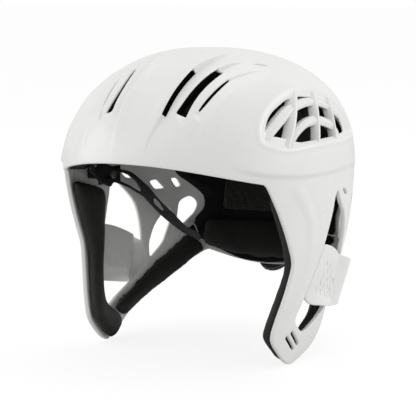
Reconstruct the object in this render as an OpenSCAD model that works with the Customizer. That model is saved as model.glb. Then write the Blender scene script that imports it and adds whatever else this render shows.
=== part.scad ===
// Water sports helmet with open cheek arms, a ribbed side vent and a dial fit system.
// The head centre is at the origin, the face looks along -Y and the wearer's left is +X.

/* [Shell form] */
// Half width of the shell at its equator
half_w = 103.7; // [101:0.1:107]
// Reach of the shell ahead of the head centre
front_reach = 117; // [114:0.5:121]
// Reach of the shell behind the head centre
rear_reach = 133.5; // [130:0.5:138]
// Height of the crown above the equator
crown_h = 87.2; // [84:0.2:92]
// Height of the equator above the brow corners
equator_z = 6; // [4:0.5:8]
// Wall of the moulded shell
wall = 3.4; // [2.8:0.1:3.8]
// Squareness of the plan outline, 2 being an ellipse
plan_n = 2.14; // [2.05:0.01:2.25]

/* [Face opening and cheek arms] */
// Height of the brow edge at the middle
brow_mid_z = 14.6; // [12:0.2:17]
// Distance of the brow corner ahead of the head centre
corner_y = 65; // [63:0.5:67]
// Depth of the knee on the front edge of the arm
knee_z = 63; // [60:0.5:66]
// Depth of the arm tip
tip_z = 139; // [136:0.5:142]
// Depth of the nape edge at the middle
nape_z = 87; // [85:0.5:89]
// Rise of the nape edge from the middle to the jaw cusp
nape_rise = 9; // [7:0.5:11]

/* [Crown vents] */
// Half width of the inner crown slot
slot_inner_r = 2.4; // [1.5:0.1:2.6]
// Half width of the middle crown slot
slot_middle_r = 3.4; // [2.4:0.1:4]
// Half width of the outer crown slot
slot_outer_r = 0.9; // [0.6:0.1:1.3]
// Depth of the grooves that the crown slots lie in
groove_depth = 1.6; // [0.8:0.1:2]

/* [Side vent] */
// Width of an upright rib of the side vent
rib_w = 2.3; // [2:0.1:4]
// Depth of an upright rib
rib_depth = 6.5; // [5:0.1:7.5]
// Width of an arched web at the top of the side vent
web_w = 6.5; // [4:0.1:8]
// Depth of the webs below the outer surface
web_recess = 2.4; // [1:0.1:3.5]

/* [Strap slots] */
// Width of the chin strap that a slot takes
strap_w = 15; // [12:0.5:16]
// Width of a strap slot
strap_slot_w = 3; // [2:0.1:4]

/* [Foam] */
// Thickness of the crown foam
liner_t = 12; // [9:0.5:14]
// Thickness of the rear foam
rear_liner_t = 9.5; // [7:0.5:11]
// Thickness of a crown comfort pad
crown_pad_t = 8; // [5:0.5:10]
// Thickness of the cheek and jaw pads
cheek_pad_t = 9.5; // [7:0.5:11]
// Thickness of the brow pad
brow_pad_t = 7; // [5:0.5:9]
// Thickness of the occipital and nape pads
nape_pad_t = 6; // [4:0.5:7]

/* [Fit harness] */
// Room between the harness and the crown foam at the temples
harness_side_room = 4.6; // [4.4:0.1:6]
// Room between the brow band and the crown foam at the forehead
harness_front_room = 10.9; // [10.5:0.1:12]
// Thickness of the harness moulding
harness_t = 1.8; // [1.4:0.1:2.2]
// Travel of the harness from loose to tight
harness_travel = 8; // [5:0.5:8]
// Height of the brow band
brow_band_h = 10; // [8:0.5:12]

/* [Fit dial] */
// Radius of the dial knob
knob_r = 14; // [12:0.5:15]
// Height of the knob skirt
knob_h = 7; // [6:0.5:9]
// Travel of the knob when it is pulled out to let go
knob_pull = 2.5; // [1.5:0.1:3]
// Radius of the drum that winds the lace
drum_r = 4; // [3:0.1:5]
// Diameter of the lace
lace_d = 1.2; // [0.8:0.1:1.6]

/* [Clearances] */
// Gap between a rigid piece and its neighbour
gap = 0.3; // [0.25:0.05:0.4]
// Gap behind a soft pad
pad_gap = 0.45; // [0.35:0.05:0.6]

/* [Hidden] */

white = "whitesmoke";
black = "#26262a";
grey = "#55585c";

// Exponents of the front, rear and side profiles of the dome
front_m = 1.68;
rear_m = 2.14;
side_m = 2.3;
// Draw of the skirt towards its lower edge: share of each reach, and over which depth
side_draw = 0.18;
front_draw = 0.10;
rear_draw = 0.29;
rear_draw_limit = 0.46;
skirt_span = 143;
nape_span = 91;
// Floor of the skirt before the outline is cut, just under the arm tips
floor_z = -tip_z - 4;
// Height that a facet of the form can stand off its curve, kept clear between two gridded pieces
facet_h = 0.4;

// Grid of the form: columns round it, rows over the dome, and heights of the skirt's rows
cols = 40;
dome_rows = 9;
skirt_levels = [floor_z, 14 - tip_z, -106, -97, -nape_z - 1.5, -79, -71, -62, -52, -40, -26, -11];
skirt_rows = len(skirt_levels);

function rise(t, m) = pow(max(0, 1 - pow(min(1, t), m)), 1 / m);
function up(z, i) = max(0, (z - equator_z) / (crown_h - i));
function drop(z) = max(0, equator_z - z);
function signed_pow(v, e) = sign(v) * pow(abs(v), e);
function mix(a, b, t) = a + (b - a) * t;
function ease(t) = let (s = max(0, min(1, t))) s * s * (3 - 2 * s);

// Half width, front reach and rear reach of the form at height z, a depth i under the outer face
function side_semi(z, i) = z > equator_z
    ? (half_w - i) * rise(up(z, i), side_m)
    : half_w * (1 - side_draw * pow(drop(z) / skirt_span, 1.8)) - i;
function front_semi(z, i) = z > equator_z
    ? (front_reach - i) * rise(up(z, i), front_m)
    : front_reach * (1 - front_draw * pow(drop(z) / skirt_span, 1.5)) - i;
function nape_draw(z) = rear_draw * pow(drop(z) / nape_span, 2.6);
function rear_semi(z, i) = z > equator_z
    ? (rear_reach - i) * rise(up(z, i), rear_m)
    : rear_reach * (1 - nape_draw(z) / pow(1 + pow(nape_draw(z) / rear_draw_limit, 4), 0.25)) - i;
function end_semi(y, z, i) = y < 0 ? front_semi(z, i) : rear_semi(z, i);

// A point of the form by its turn about Z, by its distance ahead or behind, or by its side distance
function at_turn(a, z, i) = [
    side_semi(z, i) * signed_pow(cos(a), 2 / plan_n),
    end_semi(sin(a), z, i) * signed_pow(sin(a), 2 / plan_n),
    z];
function wall_x(y, z, i) = side_semi(z, i)
    * pow(max(0, 1 - pow(abs(y) / end_semi(y, z, i), plan_n)), 1 / plan_n);
function wall_y(x, z, i, dir) = dir * end_semi(dir, z, i)
    * pow(max(0, 1 - pow(abs(x) / side_semi(z, i), plan_n)), 1 / plan_n);
function on_wall(p, i) = [wall_x(p[0], p[1], i), p[0], p[1]];
function dome_z(turn_up, i) = equator_z + (crown_h - i) * sin(turn_up);
// The turn at which the form passes a distance y behind the centre
function turn_at(y, z, i) = asin(pow(min(1, y / rear_semi(z, i)), plan_n / 2));

// A smooth curve through chosen points
function spline(a, b, c, d, t) = b + (c - a) * (t / 2)
    + (2 * a - 5 * b + 4 * c - d) * (t * t / 2) + (3 * b - a - 3 * c + d) * (t * t * t / 2);
function along(p, t) = let (n = len(p) - 1, s = min(n - 1, floor(t * n)), f = t * n - s)
    spline(p[max(0, s - 1)], p[s], p[s + 1], p[min(n, s + 2)], f);
function curve(p, steps) = [for (k = [0 : steps]) along(p, k / steps)];
function reversed(p) = [for (k = [len(p) - 1 : -1 : 0]) p[k]];
// A band of width w that follows a curve; a point's third value is the share of the width there
function flat(p) = [p[0], p[1]];
function heading(p, k) = let (d = flat(p[min(len(p) - 1, k + 1)] - p[max(0, k - 1)])) d / norm(d);
function share(p) = len(p) > 2 ? p[2] : 1;
function offset_side(p, w) = [for (k = [0 : len(p) - 1])
    let (h = heading(p, k)) flat(p[k]) + [-h[1], h[0]] * share(p[k]) * w / 2];
function ribbon(p, w) = concat(offset_side(p, w), reversed(offset_side(p, -w)));

// Edges of the openings in the side view, as [distance behind, height]
function brow_z(x) = brow_mid_z - (brow_mid_z + 0.3) * pow(abs(x) / 89, 2.2);
brow_edge = [for (k = [0 : 8])
    let (x = 89 * k / 8, z = brow_z(x)) [k == 8 ? -corner_y : wall_y(x, z, 0, -1), z]];
arm_front = [[-corner_y, -0.3], [-55, -20], [-46, -38], [-37, 6 - knee_z], [-36, -knee_z],
    [-40, -83], [-45, -101], [-47, 27 - tip_z], [-45, 20 - tip_z], [-30, 5 - tip_z],
    [-21, -tip_z], [-15, 1.5 - tip_z]];
arm_under = [[-15, 1.5 - tip_z], [5, -130], [28, -115], [48, -103], [70, -89],
    [wall_y(53, nape_rise - nape_z, 0, 1), nape_rise - nape_z]];
nape_edge = [for (k = [1 : 6]) let (x = 53 * (1 - k / 6), z = nape_rise * pow(x / 53, 2) - nape_z)
    [wall_y(x, z, 0, 1), z]];
ear_window = [[19, -10], [14, -15], [12, -25], [8, -35], [2, -50], [-5, -63], [-12, -75],
    [-18, -88], [-24, -99], [-25, -104], [-22, -108], [-12, -116], [4, -109], [22, -101],
    [43, -86], [44, -67], [45, -53], [43, -39], [36, -29], [25, -20]];
strut_window = [[74, -43], [76, -50], [70, -60], [62, -72], [47, -84], [50, -71], [58, -58], [66, -50]];
rear_window = [[84, -39], [93, -35], [97, -41], [93, -49], [81, -59], [78, -56]];
upper_window_front = [[59, -21], [66, -20], [73, -28], [64, -28]];
upper_window_rear = [[79, -20], [84, -20], [87, -27], [83, -28]];
upper_slit = [[28, -11], [36, -12], [42, -17], [34, -16]];

// Side vent: outline of the sunken pan, opening in its floor, upright ribs and arched webs
vent_outline = [[-63, 31], [-56, 42], [-45, 50], [-28, 59], [-14, 64], [4, 65], [21, 63],
    [35, 57], [51, 47], [62, 38], [66, 27], [16, 26], [-15, 26], [-47, 24], [-62, 28]];
vent_opening = [[-52, 35], [-50, 43], [-42, 50], [-26, 57.5], [-11, 60.4], [4, 60.2], [17, 58],
    [28, 55], [42, 45], [47, 31], [20, 29.8], [-17, 29.3], [-32, 28.7], [-46, 33]];
vent_ribs = [
    [[-11, 66], [-27, 49.5], [-47, 23]],
    [[14, 65.5], [-2.2, 45], [-12.5, 24]],
    [[35, 60.5], [23, 44], [17, 24]]];
vent_webs = [
    [[-62, 26, 0.5], [-46, 38.5, 0.52], [-26, 50.2, 0.56], [-6, 54.8, 0.8], [14, 53.6, 0.95],
        [33, 47.5, 1.05], [50, 38, 1.05], [62, 25, 1.05]],
    [[-41, 24, 0.5], [-32.5, 33, 0.58], [-22, 39, 0.64], [-10.5, 41.6, 0.95], [1, 41.5, 1.1],
        [13, 39, 1.15], [22.5, 35, 1.15], [31, 24, 1.1]]];

// Lap of the ribs and webs under the edge of the pan
vent_lap = 1;

// Crown slots in plan, front end to rear end, with the half width of each
crown_slots = [
    [[[17.8, -89.2], [17.2, -70], [16.9, -52]], slot_inner_r],
    [[[31.1, -87], [32, -66], [35.4, -43]], slot_middle_r],
    [[[42.2, -79.5, 0.3], [43.8, -64, 1], [47.6, -48.5, 0.3]], slot_outer_r]];
// Each channel runs on behind its slot and turns outwards; the middle one ends in a scoop with a slit
channel_tails = [[[22.5, -35], [30, -14]], [[42, -27], [53, -14]], [[53, -38], [60, -27]]];
scoop_slit = [[[52, -20, 0.3], [55.5, -16, 1], [59, -12, 0.3]], 1.3];
groove_w = 9;

// Strap slots in the arm tip: middles and the turn of their long side
strap_slot_mids = [[-26, 18 - tip_z], [-21, 21 - tip_z]];
strap_slot_turn = -45;
strap_fit = 1;

module side_prism(half = 140) rotate([90, 0, 90]) linear_extrude(height = 2 * half, center = true) children();
module both_sides() { children(); mirror([1, 0, 0]) children(); }

function grid_tris(rows, cols, start, flip, wrap) = [
    for (r = [0 : rows - 2]) for (c = [0 : (wrap ? cols - 1 : cols - 2)])
    let (a = start + r * cols + c, b = start + r * cols + (c + 1) % cols, d = a + cols, e = b + cols)
    each flip ? [[a, d, b], [b, d, e]] : [[a, b, d], [b, e, d]]];
function level(k, i) = k < skirt_rows
    ? skirt_levels[k]
    : dome_z(90 * (k - skirt_rows) / dome_rows, i);
function layer_points(i) = [for (k = [0 : skirt_rows + dome_rows - 1]) for (c = [0 : cols - 1])
    at_turn(360 * c / cols, level(k, i), i)];

// The whole form between two depths, open below like a bell
module bell(outer_i, inner_i) {
    rows = skirt_rows + dome_rows;
    n = rows * cols;
    outer_top = 2 * n;
    inner_top = 2 * n + 1;
    last = (rows - 1) * cols;
    points = concat(layer_points(outer_i), layer_points(inner_i),
        [[0, 0, dome_z(90, outer_i)], [0, 0, dome_z(90, inner_i)]]);
    faces = concat(grid_tris(rows, cols, 0, true, true), grid_tris(rows, cols, n, false, true),
        [for (c = [0 : cols - 1]) let (d = (c + 1) % cols) each [
            [last + c, outer_top, last + d],
            [n + last + c, n + last + d, inner_top],
            [c, d, n + c],
            [d, n + d, n + c]]]);
    polyhedron(points, faces, convexity = 10);
}

// A closed piece between two open grids of the same size, given by a place function of u, v and face
module plate(rows, cols, place) {
    m = rows * cols;
    points = [for (face = [0, 1]) for (r = [0 : rows - 1]) for (c = [0 : cols - 1])
        place(c / (cols - 1), r / (rows - 1), face)];
    rim = concat([for (c = [0 : cols - 1]) c], [for (r = [1 : rows - 1]) r * cols + cols - 1],
        [for (c = [cols - 2 : -1 : 0]) (rows - 1) * cols + c], [for (r = [rows - 2 : -1 : 1]) r * cols]);
    sides = [for (k = [0 : len(rim) - 1]) let (a = rim[k], b = rim[(k + 1) % len(rim)])
        each [[a, a + m, b], [b, a + m, b + m]]];
    faces = concat(grid_tris(rows, cols, 0, true, false), grid_tris(rows, cols, m, false, false),
        [for (f = sides) [f[0], f[2], f[1]]]);
    polyhedron(points, faces, convexity = 6);
}

// Crown of a cushion: full in the middle, drawn in to its edge
pad_edge_share = 0.35;
function swell(u) = pow(max(0, 1 - pow(abs(2 * u - 1), 4)), 0.6);
function cushion_depth(u, v, full) = full * mix(pad_edge_share, 1, swell(u) * swell(v));

module shell_outline() polygon(concat([[-160, 120], [-160, brow_mid_z]], brow_edge,
    arm_front, curve(arm_under, 8), nape_edge, [[160, -nape_z], [160, 120]]));
corner_r = 1.5;
module window(points) offset(r = corner_r, $fn = 8) offset(delta = -corner_r) polygon(points);

module crown_slot_cut(slot) linear_extrude(height = crown_h)
    polygon(ribbon(slot[0], 2 * slot[1]));
module groove_spot(p, part) translate(flat(p)) circle(r = groove_w / 2 * part, $fn = 6);
module crown_groove_cut(path, tail) linear_extrude(height = crown_h) {
    hull() for (p = path) groove_spot(p, 1);
    hull() { groove_spot(path[2], 1); groove_spot(tail[0], 0.8); }
    hull() { groove_spot(tail[0], 0.8); groove_spot(tail[1], 0.5); }
}
module strap_slot_cut(mid) side_prism() translate(mid) rotate(strap_slot_turn) hull() for (s = [-1, 1])
    translate([s * (strap_w / 2 + strap_fit - strap_slot_w / 2), 0]) circle(d = strap_slot_w, $fn = 8);

module shell_layer() intersection() {
    bell(0, wall);
    side_prism() shell_outline();
}
module vent_lines(lines, w) side_prism() intersection() {
    offset(delta = vent_lap) polygon(vent_outline);
    union() for (p = lines) polygon(ribbon(p, w));
}
module vent_grille() intersection() {
    vent_lines([for (r = vent_ribs) curve(r, 3)], rib_w);
    bell(0, rib_depth);
}
module vent_web_layer() intersection() {
    vent_lines(vent_webs, web_w);
    bell(web_recess, rib_depth);
}

// The dial sits on the nape, square to the shell there
dial_z = 9.5 - nape_z;
dial_slope = (rear_semi(dial_z + 4, 0) - rear_semi(dial_z - 4, 0)) / 8;
dial_seat = [0, rear_semi(dial_z, 0), dial_z];
dial_tilt = -(90 + atan(dial_slope));
boss_top = 1.2;
boss_r = knob_r - 3;
base_r = knob_r - 2.3;
base_floor = 2;
base_ring_h = 5.6;
spool_z = boss_top + base_floor + gap;
flange_r = knob_r - 7;
flange_t = 1;
drum_h = 2.2;
spline_r = 3;
spline_release = 0.7;
spline_h = knob_pull - spline_release;
axle_d = 3;
axle_fit = 0.15;
spool_top = spool_z + 2 * flange_t + drum_h;
knob_top_t = 1.8;
knob_z = spool_top + spline_h + 0.1 + knob_top_t - knob_h;
knob_skirt_r = knob_r - 1;
grip_fit = 0.05;
screw_ring_r = knob_r - 5.1;
screw_head_d = 3.2;
screw_head_h = 1;
screw_d = 1.8;
screw_l = 3.4;
lace_port_x = flange_r + 1.5;
lace_port_d = lace_d + 1.2;

module at_dial() translate(dial_seat) rotate([dial_tilt, 0, 0]) children();
module around_dial() for (a = [90, 210, 330]) rotate(a) translate([screw_ring_r, 0, 0]) children();
module lace_ports(h, z) for (s = [-1, 1]) translate([s * lace_port_x, 0, z])
    cylinder(d = lace_port_d, h = h, $fn = 8);

module outer_shell() color(white) {
    difference() {
        union() {
            shell_layer();
            at_dial() translate([0, 0, -wall / 2]) cylinder(r = boss_r, h = wall / 2 + boss_top, $fn = 24);
        }
        at_dial() lace_ports(wall * 3, -wall * 2);
        at_dial() around_dial() translate([0, 0, boss_top + base_floor - screw_l - gap])
            cylinder(d = screw_d + 2 * rivet_fit, h = screw_l, $fn = 12);
        side_prism() window(ear_window);
        for (w = [strut_window, rear_window, upper_window_front, upper_window_rear, upper_slit])
            side_prism() window(w);
        side_prism() polygon(vent_opening);
        intersection() {
            bell(-1, web_recess);
            side_prism() polygon(vent_outline);
        }
        both_sides() {
            for (s = crown_slots) crown_slot_cut(s);
            crown_slot_cut(scoop_slit);
        }
        difference() {
            both_sides() for (k = [0 : 2]) crown_groove_cut(crown_slots[k][0], channel_tails[k]);
            bell(groove_depth, crown_h - 1);
        }
        for (p = strap_slot_mids) strap_slot_cut(p);
    }
    vent_grille();
    vent_web_layer();
}

// Ear cover: a perforated scoop whose rear rim stands proud over the strut foot
ear_cover_t = 2.4;
ear_cover_proud = 8.5;
seam = gap + 0.2;
ear_front = [for (k = [7 : -1 : 4]) ear_window[k] + [seam, 0]];
ear_rear = [[40, -97], [42.5, -90], [45, -82], [48, -75]];
ear_bottom = [ear_front[0], [-8, -94.5], [4, -96.5], [20, -93], [33, -90], ear_rear[0]];
ear_top = [ear_front[3], [15, -53.5], [29, -58.5], [40, -66], ear_rear[3]];
ear_slots = [[9, -64], [18, -68], [27, -73], [12, -73], [21, -77], [3, -77],
    [14, -83], [5, -87], [23, -86], [-5, -86]];
ear_slot_l = 4;
ear_slot_w = 1.8;
ear_slot_lean = 24;

// A patch that fills four edge curves
function patch(bottom, top, first, last, u, v) =
    mix(along(bottom, u), along(top, u), v) + mix(along(first, v), along(last, v), u)
    - mix(mix(bottom[0], bottom[len(bottom) - 1], u), mix(top[0], top[len(top) - 1], u), v);
function ear_proud(u, v) = ear_cover_proud
    * max(ease((u - 0.68) / 0.22), 0.7 * ease(u / 0.7) * (1 - ease(v / 0.3)));
function ear_place(u, v, face) = let (p = patch(ear_bottom, ear_top, ear_front, ear_rear, u, v),
    out = -ear_proud(u, v), back = u > 0.94 ? -gap - 0.1 : out + ear_cover_t)
    on_wall(p, face == 0 ? out : back);

module ear_cover() color(white) difference() {
    plate(8, 14, function (u, v, face) ear_place(u, v, face));
    for (p = ear_slots) rotate([90, 0, 90]) linear_extrude(height = 140) translate(p) rotate(-ear_slot_lean)
        hull() for (s = [-1, 1]) translate([0, s * ear_slot_l / 2]) circle(d = ear_slot_w, $fn = 6);
}
module ear_cover_left() ear_cover();
module ear_cover_right() mirror([1, 0, 0]) ear_cover();

// Crown foam: a cap whose lower edge follows the brow, then runs over the ears and drops behind
liner_seat = wall + gap + facet_h;
liner_inner = liner_seat + liner_t;
liner_lip = 1;
liner_rear_edge = -9;
function liner_edge(a) = let (p = at_turn(a, equator_z, 0))
    p[1] < 0 ? brow_z(min(89, abs(p[0]))) + liner_lip
    : mix(brow_z(89) + liner_lip, liner_rear_edge, ease((p[1] - 45) / 30));
edge_rows = 3;
function cap_z(k, a, i) = k < edge_rows
    ? mix(liner_edge(a), dome_z(180 / dome_rows, i), k / edge_rows)
    : dome_z(90 * (k - edge_rows + 2) / dome_rows, i);
module cap(outer_i, inner_i) {
    rows = edge_rows + dome_rows - 2;
    n = rows * cols;
    last = (rows - 1) * cols;
    points = concat(
        [for (i = [outer_i, inner_i]) for (k = [0 : rows - 1]) for (c = [0 : cols - 1])
            let (a = 360 * c / cols) at_turn(a, cap_z(k, a, i), i)],
        [[0, 0, dome_z(90, outer_i)], [0, 0, dome_z(90, inner_i)]]);
    faces = concat(grid_tris(rows, cols, 0, true, true), grid_tris(rows, cols, n, false, true),
        [for (c = [0 : cols - 1]) let (d = (c + 1) % cols) each [
            [last + c, 2 * n, last + d],
            [n + last + c, n + last + d, 2 * n + 1],
            [c, d, n + c],
            [d, n + d, n + c]]]);
    polyhedron(points, faces, convexity = 8);
}
module impact_liner() color(black) difference() {
    cap(liner_seat, liner_inner);
    intersection() {
        bell(-1, rib_depth + gap);
        side_prism() offset(delta = vent_lap + 2 * gap) polygon(vent_outline);
    }
    both_sides() for (s = crown_slots) crown_slot_cut(s);
    both_sides() liner_channel();
}
// Air channel on the inner face, from the crown slots to the rear
channel_w = 9;
channel_depth = 4;
module liner_channel() intersection() {
    bell(liner_inner - channel_depth, liner_inner + 3);
    linear_extrude(height = crown_h) hull() for (y = [-60, 60])
        translate([34, y]) circle(d = channel_w, $fn = 6);
}

// Rear foam: wraps the back of the head, with a groove for the lace on its outer face
rear_seat = wall + gap + 1.5 * facet_h;
rear_inner = rear_seat + rear_liner_t;
rear_top = liner_rear_edge - gap;
rear_front_edge = [[80, -62], [87, -54], [95, -46], [97.5, -39], [96.5, -33], [90, -25], [81, -17],
    [77, rear_top]];
rear_edge_low = rear_front_edge[0][1];
rear_rows = 12;
groove_v = 1 / (rear_rows - 1);
lace_groove_depth = 2.2;
function rear_low(s) = mix(2.5 - nape_z, rear_edge_low, pow(abs(s), 2.2));
function rear_place(u, v, i) = let (e = along(rear_front_edge, v), s = 1 - 2 * u,
    w = (e[1] - rear_edge_low) / (rear_top - rear_edge_low),
    a = 90 - s * (90 - turn_at(e[0], e[1], i)))
    at_turn(a, mix(rear_low(s), rear_top, w), i);
function in_groove(v) = max(0, 1 - abs(v - groove_v) * (rear_rows - 1));
module rear_liner() color(black) plate(rear_rows, 19, function (u, v, face)
    rear_place(u, v, face == 0 ? rear_seat + lace_groove_depth * in_groove(v) : rear_inner));

// Comfort pads
crown_pad_seat = liner_inner + facet_h + pad_gap;
module crown_pad(mid, half, low, high) color(black) plate(6, 8, function (u, v, face)
    let (i = crown_pad_seat + (face == 0 ? 0 : cushion_depth(u, v, crown_pad_t)))
    at_turn(mid + half * (2 * u - 1), dome_z(mix(low, high, v), i), i));
module crown_pad_front() crown_pad(-90, 24, 34, 74);
module crown_pad_rear() crown_pad(90, 26, 30, 72);
module crown_pad_left() crown_pad(0, 24, 34, 70);
module crown_pad_right() crown_pad(180, 24, 34, 70);

rear_pad_seat = rear_inner + facet_h / 2 + pad_gap;
function rear_pad_place(u, v, half, low, high, face) = let (
    i = rear_pad_seat + (face == 0 ? 0 : cushion_depth(u, v, nape_pad_t)))
    at_turn(90 + half * (2 * u - 1), mix(low, high, v), i);
function nape_pad_low(u) = 5 - nape_z + 9 * pow(2 * u - 1, 2);
module nape_pad() color(black) plate(7, 12, function (u, v, face)
    rear_pad_place(u, v, 38, nape_pad_low(u), -51, face));
module occipital_pad() color(black) plate(7, 10, function (u, v, face)
    rear_pad_place(u, v, 30, -48, -16, face));

side_pad_seat = wall + facet_h + pad_gap;
arm_lip = 2;
arm_inset = offset_side(arm_front, 2 * arm_lip);
cheek_front = concat([mix(arm_inset[0], arm_inset[1], 0.35)],
    [for (k = [1, 2, 4, 5, 6, 7, 8, 9, 10, 11]) arm_inset[k]]);
cheek_rear = [[1, -20], [-1, -32], [-5, -43], [-9, -57], [-15, -72], [-20, -86], [-23, -101],
    [-20, -108], [-10, -115], [-4, -119.5], [1, -124]];
jaw_upper = [[-7, -115], [5, -109], [22, -101], [43, -87], [62, -75], [79, -63]];
jaw_lower = [[3, -125], [14, -120], [28, -112.5], [47, -101], [66, -88], [82, -76.5]];
module cheek_pad() color(black) plate(18, 7, function (u, v, face)
    on_wall(mix(along(cheek_rear, v), along(cheek_front, v), u),
        side_pad_seat + (face == 0 ? 0 : cushion_depth(u, v, cheek_pad_t))));
module jaw_pad() color(black) plate(6, 17, function (u, v, face)
    on_wall(mix(along(jaw_lower, u), along(jaw_upper, u), v),
        side_pad_seat + (face == 0 ? 0 : cushion_depth(u, v, cheek_pad_t))));
module cheek_pad_left() cheek_pad();
module cheek_pad_right() mirror([1, 0, 0]) cheek_pad();
module jaw_pad_left() jaw_pad();
module jaw_pad_right() mirror([1, 0, 0]) jaw_pad();

// Harness plan: straight along the temples, drawn in ahead and behind
harness_half_w = half_w - liner_inner - harness_side_room;
harness_front_y = -25;
harness_rear_y = 8;
harness_front_l = front_reach - liner_inner - harness_front_room + harness_front_y;
harness_end_y = 66;
harness_rear_l = harness_end_y + 6;
harness_lap = harness_t + 0.2;
arm_front_y = -47;
band_rear_y = arm_front_y + 11;
harness_floor = -80;
harness_ceiling = 50;
// Reach of a cut through the harness wall, to either side of its outer face
cut_reach = 6;
function harness_x(y, i) = (harness_half_w - i) * sqrt(max(0, 1
    - pow(max(0, y - harness_rear_y) / (harness_rear_l - i), 2)
    - pow(max(0, harness_front_y - y) / (harness_front_l - i), 2)));
// The face of the harness in plan, as points from y to y
function harness_face(from, to, steps, i) = [for (k = [0 : steps])
    let (y = mix(from, to, k / steps)) [harness_x(y, i), y]];
module harness_sheet(from, to, steps, i) translate([0, 0, harness_floor])
    linear_extrude(height = harness_ceiling - harness_floor)
    polygon(concat(harness_face(from, to, steps, i), reversed(harness_face(from, to, steps, i + harness_t))));

arm_outline = [[arm_front_y, 9], [-36, 7], [-20, 2], [2, -5], [14, -7.5], [20, -10.5], [33, -21], [43, -34],
    [52, -45], [59, -56], [harness_end_y, -62], [harness_end_y, -69], [59, -62], [50, -52.5], [41, -42.5],
    [30, -30], [14, -21.3], [-5, -14.8], [-9, -14.5], [-12, -18], [-27, -12.5], [-35, -6.5], [arm_front_y, -1]];
arm_opening_front = [[-4, -7], [5, -8], [13, -10.7], [22, -17], [28, -25], [26, -25.5], [13, -18.6],
    [-4, -12.4]];
arm_opening_rear = [[37.5, -32.3], [39.5, -31.8], [43.3, -36], [46.6, -42.6], [45.8, -43.4],
    [42.6, -40.8], [38, -35.6]];
guide_pin = [-9, -8];
guide_pin_d = 3.8;
guide_slot_w = guide_pin_d + 2 * gap;
lap_rivet = [-42, 4.5];
lap_rivet_d = 3.6;
rivet_fit = 0.1;
rivet_head_d = 7;
rivet_head_t = 1.2;
lap_depth = harness_lap + harness_t + gap / 2;
lap_slope = (harness_x(lap_rivet[0] + 1, 0) - harness_x(lap_rivet[0] - 1, 0)) / 2;

module across(p, from, to, d) translate([from, p[0], p[1]]) rotate([0, 90, 0])
    cylinder(d = d, h = to - from, $fn = 32);
module at_lap() translate([harness_x(lap_rivet[0], 0), lap_rivet[0], lap_rivet[1]])
    rotate([0, 0, -atan(lap_slope)]) children();

module harness_arm() color(black) difference() {
    intersection() {
        harness_sheet(arm_front_y, harness_end_y, 22, 0);
        side_prism() polygon(arm_outline);
    }
    side_prism() polygon(arm_opening_front);
    side_prism() polygon(arm_opening_rear);
    for (y = [guide_pin[0] - harness_travel, guide_pin[0]]) across([y, guide_pin[1]],
        harness_half_w - cut_reach, harness_half_w + cut_reach, guide_slot_w);
    translate([harness_half_w - cut_reach, guide_pin[0] - harness_travel, guide_pin[1] - guide_slot_w / 2])
        cube([2 * cut_reach, harness_travel, guide_slot_w]);
    at_lap() across([0, 0], -cut_reach, cut_reach, lap_rivet_d + 2 * rivet_fit);
}
module harness_arm_left() harness_arm();
module harness_arm_right() mirror([1, 0, 0]) harness_arm();

// Brow band and brow pad
band_y = harness_front_y - harness_front_l + harness_lap;
band_lip = 3;
function band_low(y) = brow_z(harness_x(y, harness_lap)) + band_lip;
band_ys = [for (k = [0 : 8]) mix(band_rear_y, band_y - 1, k / 8)];
// Face of the band in plan, round the forehead from one end to the other
band_turn = asin((harness_front_y - band_rear_y - 1) / (harness_front_l - harness_lap));
function band_face(i) = [for (k = [0 : 40]) let (a = mix(band_turn, 180 - band_turn, k / 40))
    [(harness_half_w - i) * cos(a), harness_front_y - (harness_front_l - i) * sin(a)]];
module brow_band() color(black) difference() {
    intersection() {
        translate([0, 0, harness_floor]) linear_extrude(height = harness_ceiling - harness_floor)
            polygon(concat(band_face(harness_lap), reversed(band_face(harness_lap + harness_t))));
        side_prism() polygon(concat([for (y = band_ys) [y, band_low(y)]],
            reversed([for (y = band_ys) [y, band_low(y) + brow_band_h]])));
    }
    both_sides() at_lap() across([0, 0], -cut_reach, cut_reach, lap_rivet_d + 2 * rivet_fit);
}
pad_lean = 9;
brow_pad_h = 25;
brow_pad_half = 62;
function brow_pad_place(u, v, face) = let (a = brow_pad_half * (2 * u - 1),
    i = harness_lap + harness_t + facet_h / 2 + pad_gap + pad_lean * ease((v - 0.35) / 0.65)
        + (face == 0 ? 0 : cushion_depth(u, v, brow_pad_t)),
    x = (harness_half_w - i) * sin(a))
    [x, harness_front_y - (harness_front_l - i) * cos(a), brow_z(abs(x)) + band_lip - 1 + brow_pad_h * v];
module brow_pad() color(black) plate(6, 15, function (u, v, face) brow_pad_place(u, v, face));

module harness_rivets() color(grey) both_sides() at_lap() {
    across([0, 0], -lap_depth, 0, lap_rivet_d);
    across([0, 0], -lap_depth - rivet_head_t, -lap_depth, rivet_head_d);
}

// Temple guides: a block on the shell wall with a pin that the arm's slot slides on
guide_plate_t = 2;
guide_face = harness_half_w + gap;
guide_from = [-24, -15];
guide_to = [4, -2];
post_from = [-20, -11];
post_to = [0, -3.5];
module guide_post() plate(3, 4, function (u, v, face)
    let (p = [mix(post_from[0], post_to[0], u), mix(post_from[1], post_to[1], v)])
    face == 0 ? on_wall(p, wall + facet_h + gap) : [guide_face + guide_plate_t - 0.5, p[0], p[1]]);
module temple_guide() color(black) difference() {
    union() {
        translate([guide_face, guide_from[0], guide_from[1]])
            cube([guide_plate_t, guide_to[0] - guide_from[0], guide_to[1] - guide_from[1]]);
        guide_post();
    }
    across(guide_pin, guide_face - 1, guide_face + 6, guide_pin_d + 2 * rivet_fit);
}
module temple_guide_left() temple_guide();
module temple_guide_right() mirror([1, 0, 0]) temple_guide();
module guide_rivets() color(grey) both_sides() {
    across(guide_pin, harness_half_w - harness_t - gap, guide_face + 5.5, guide_pin_d);
    across(guide_pin, harness_half_w - harness_t - gap - rivet_head_t, harness_half_w - harness_t - gap,
        rivet_head_d);
}

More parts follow.
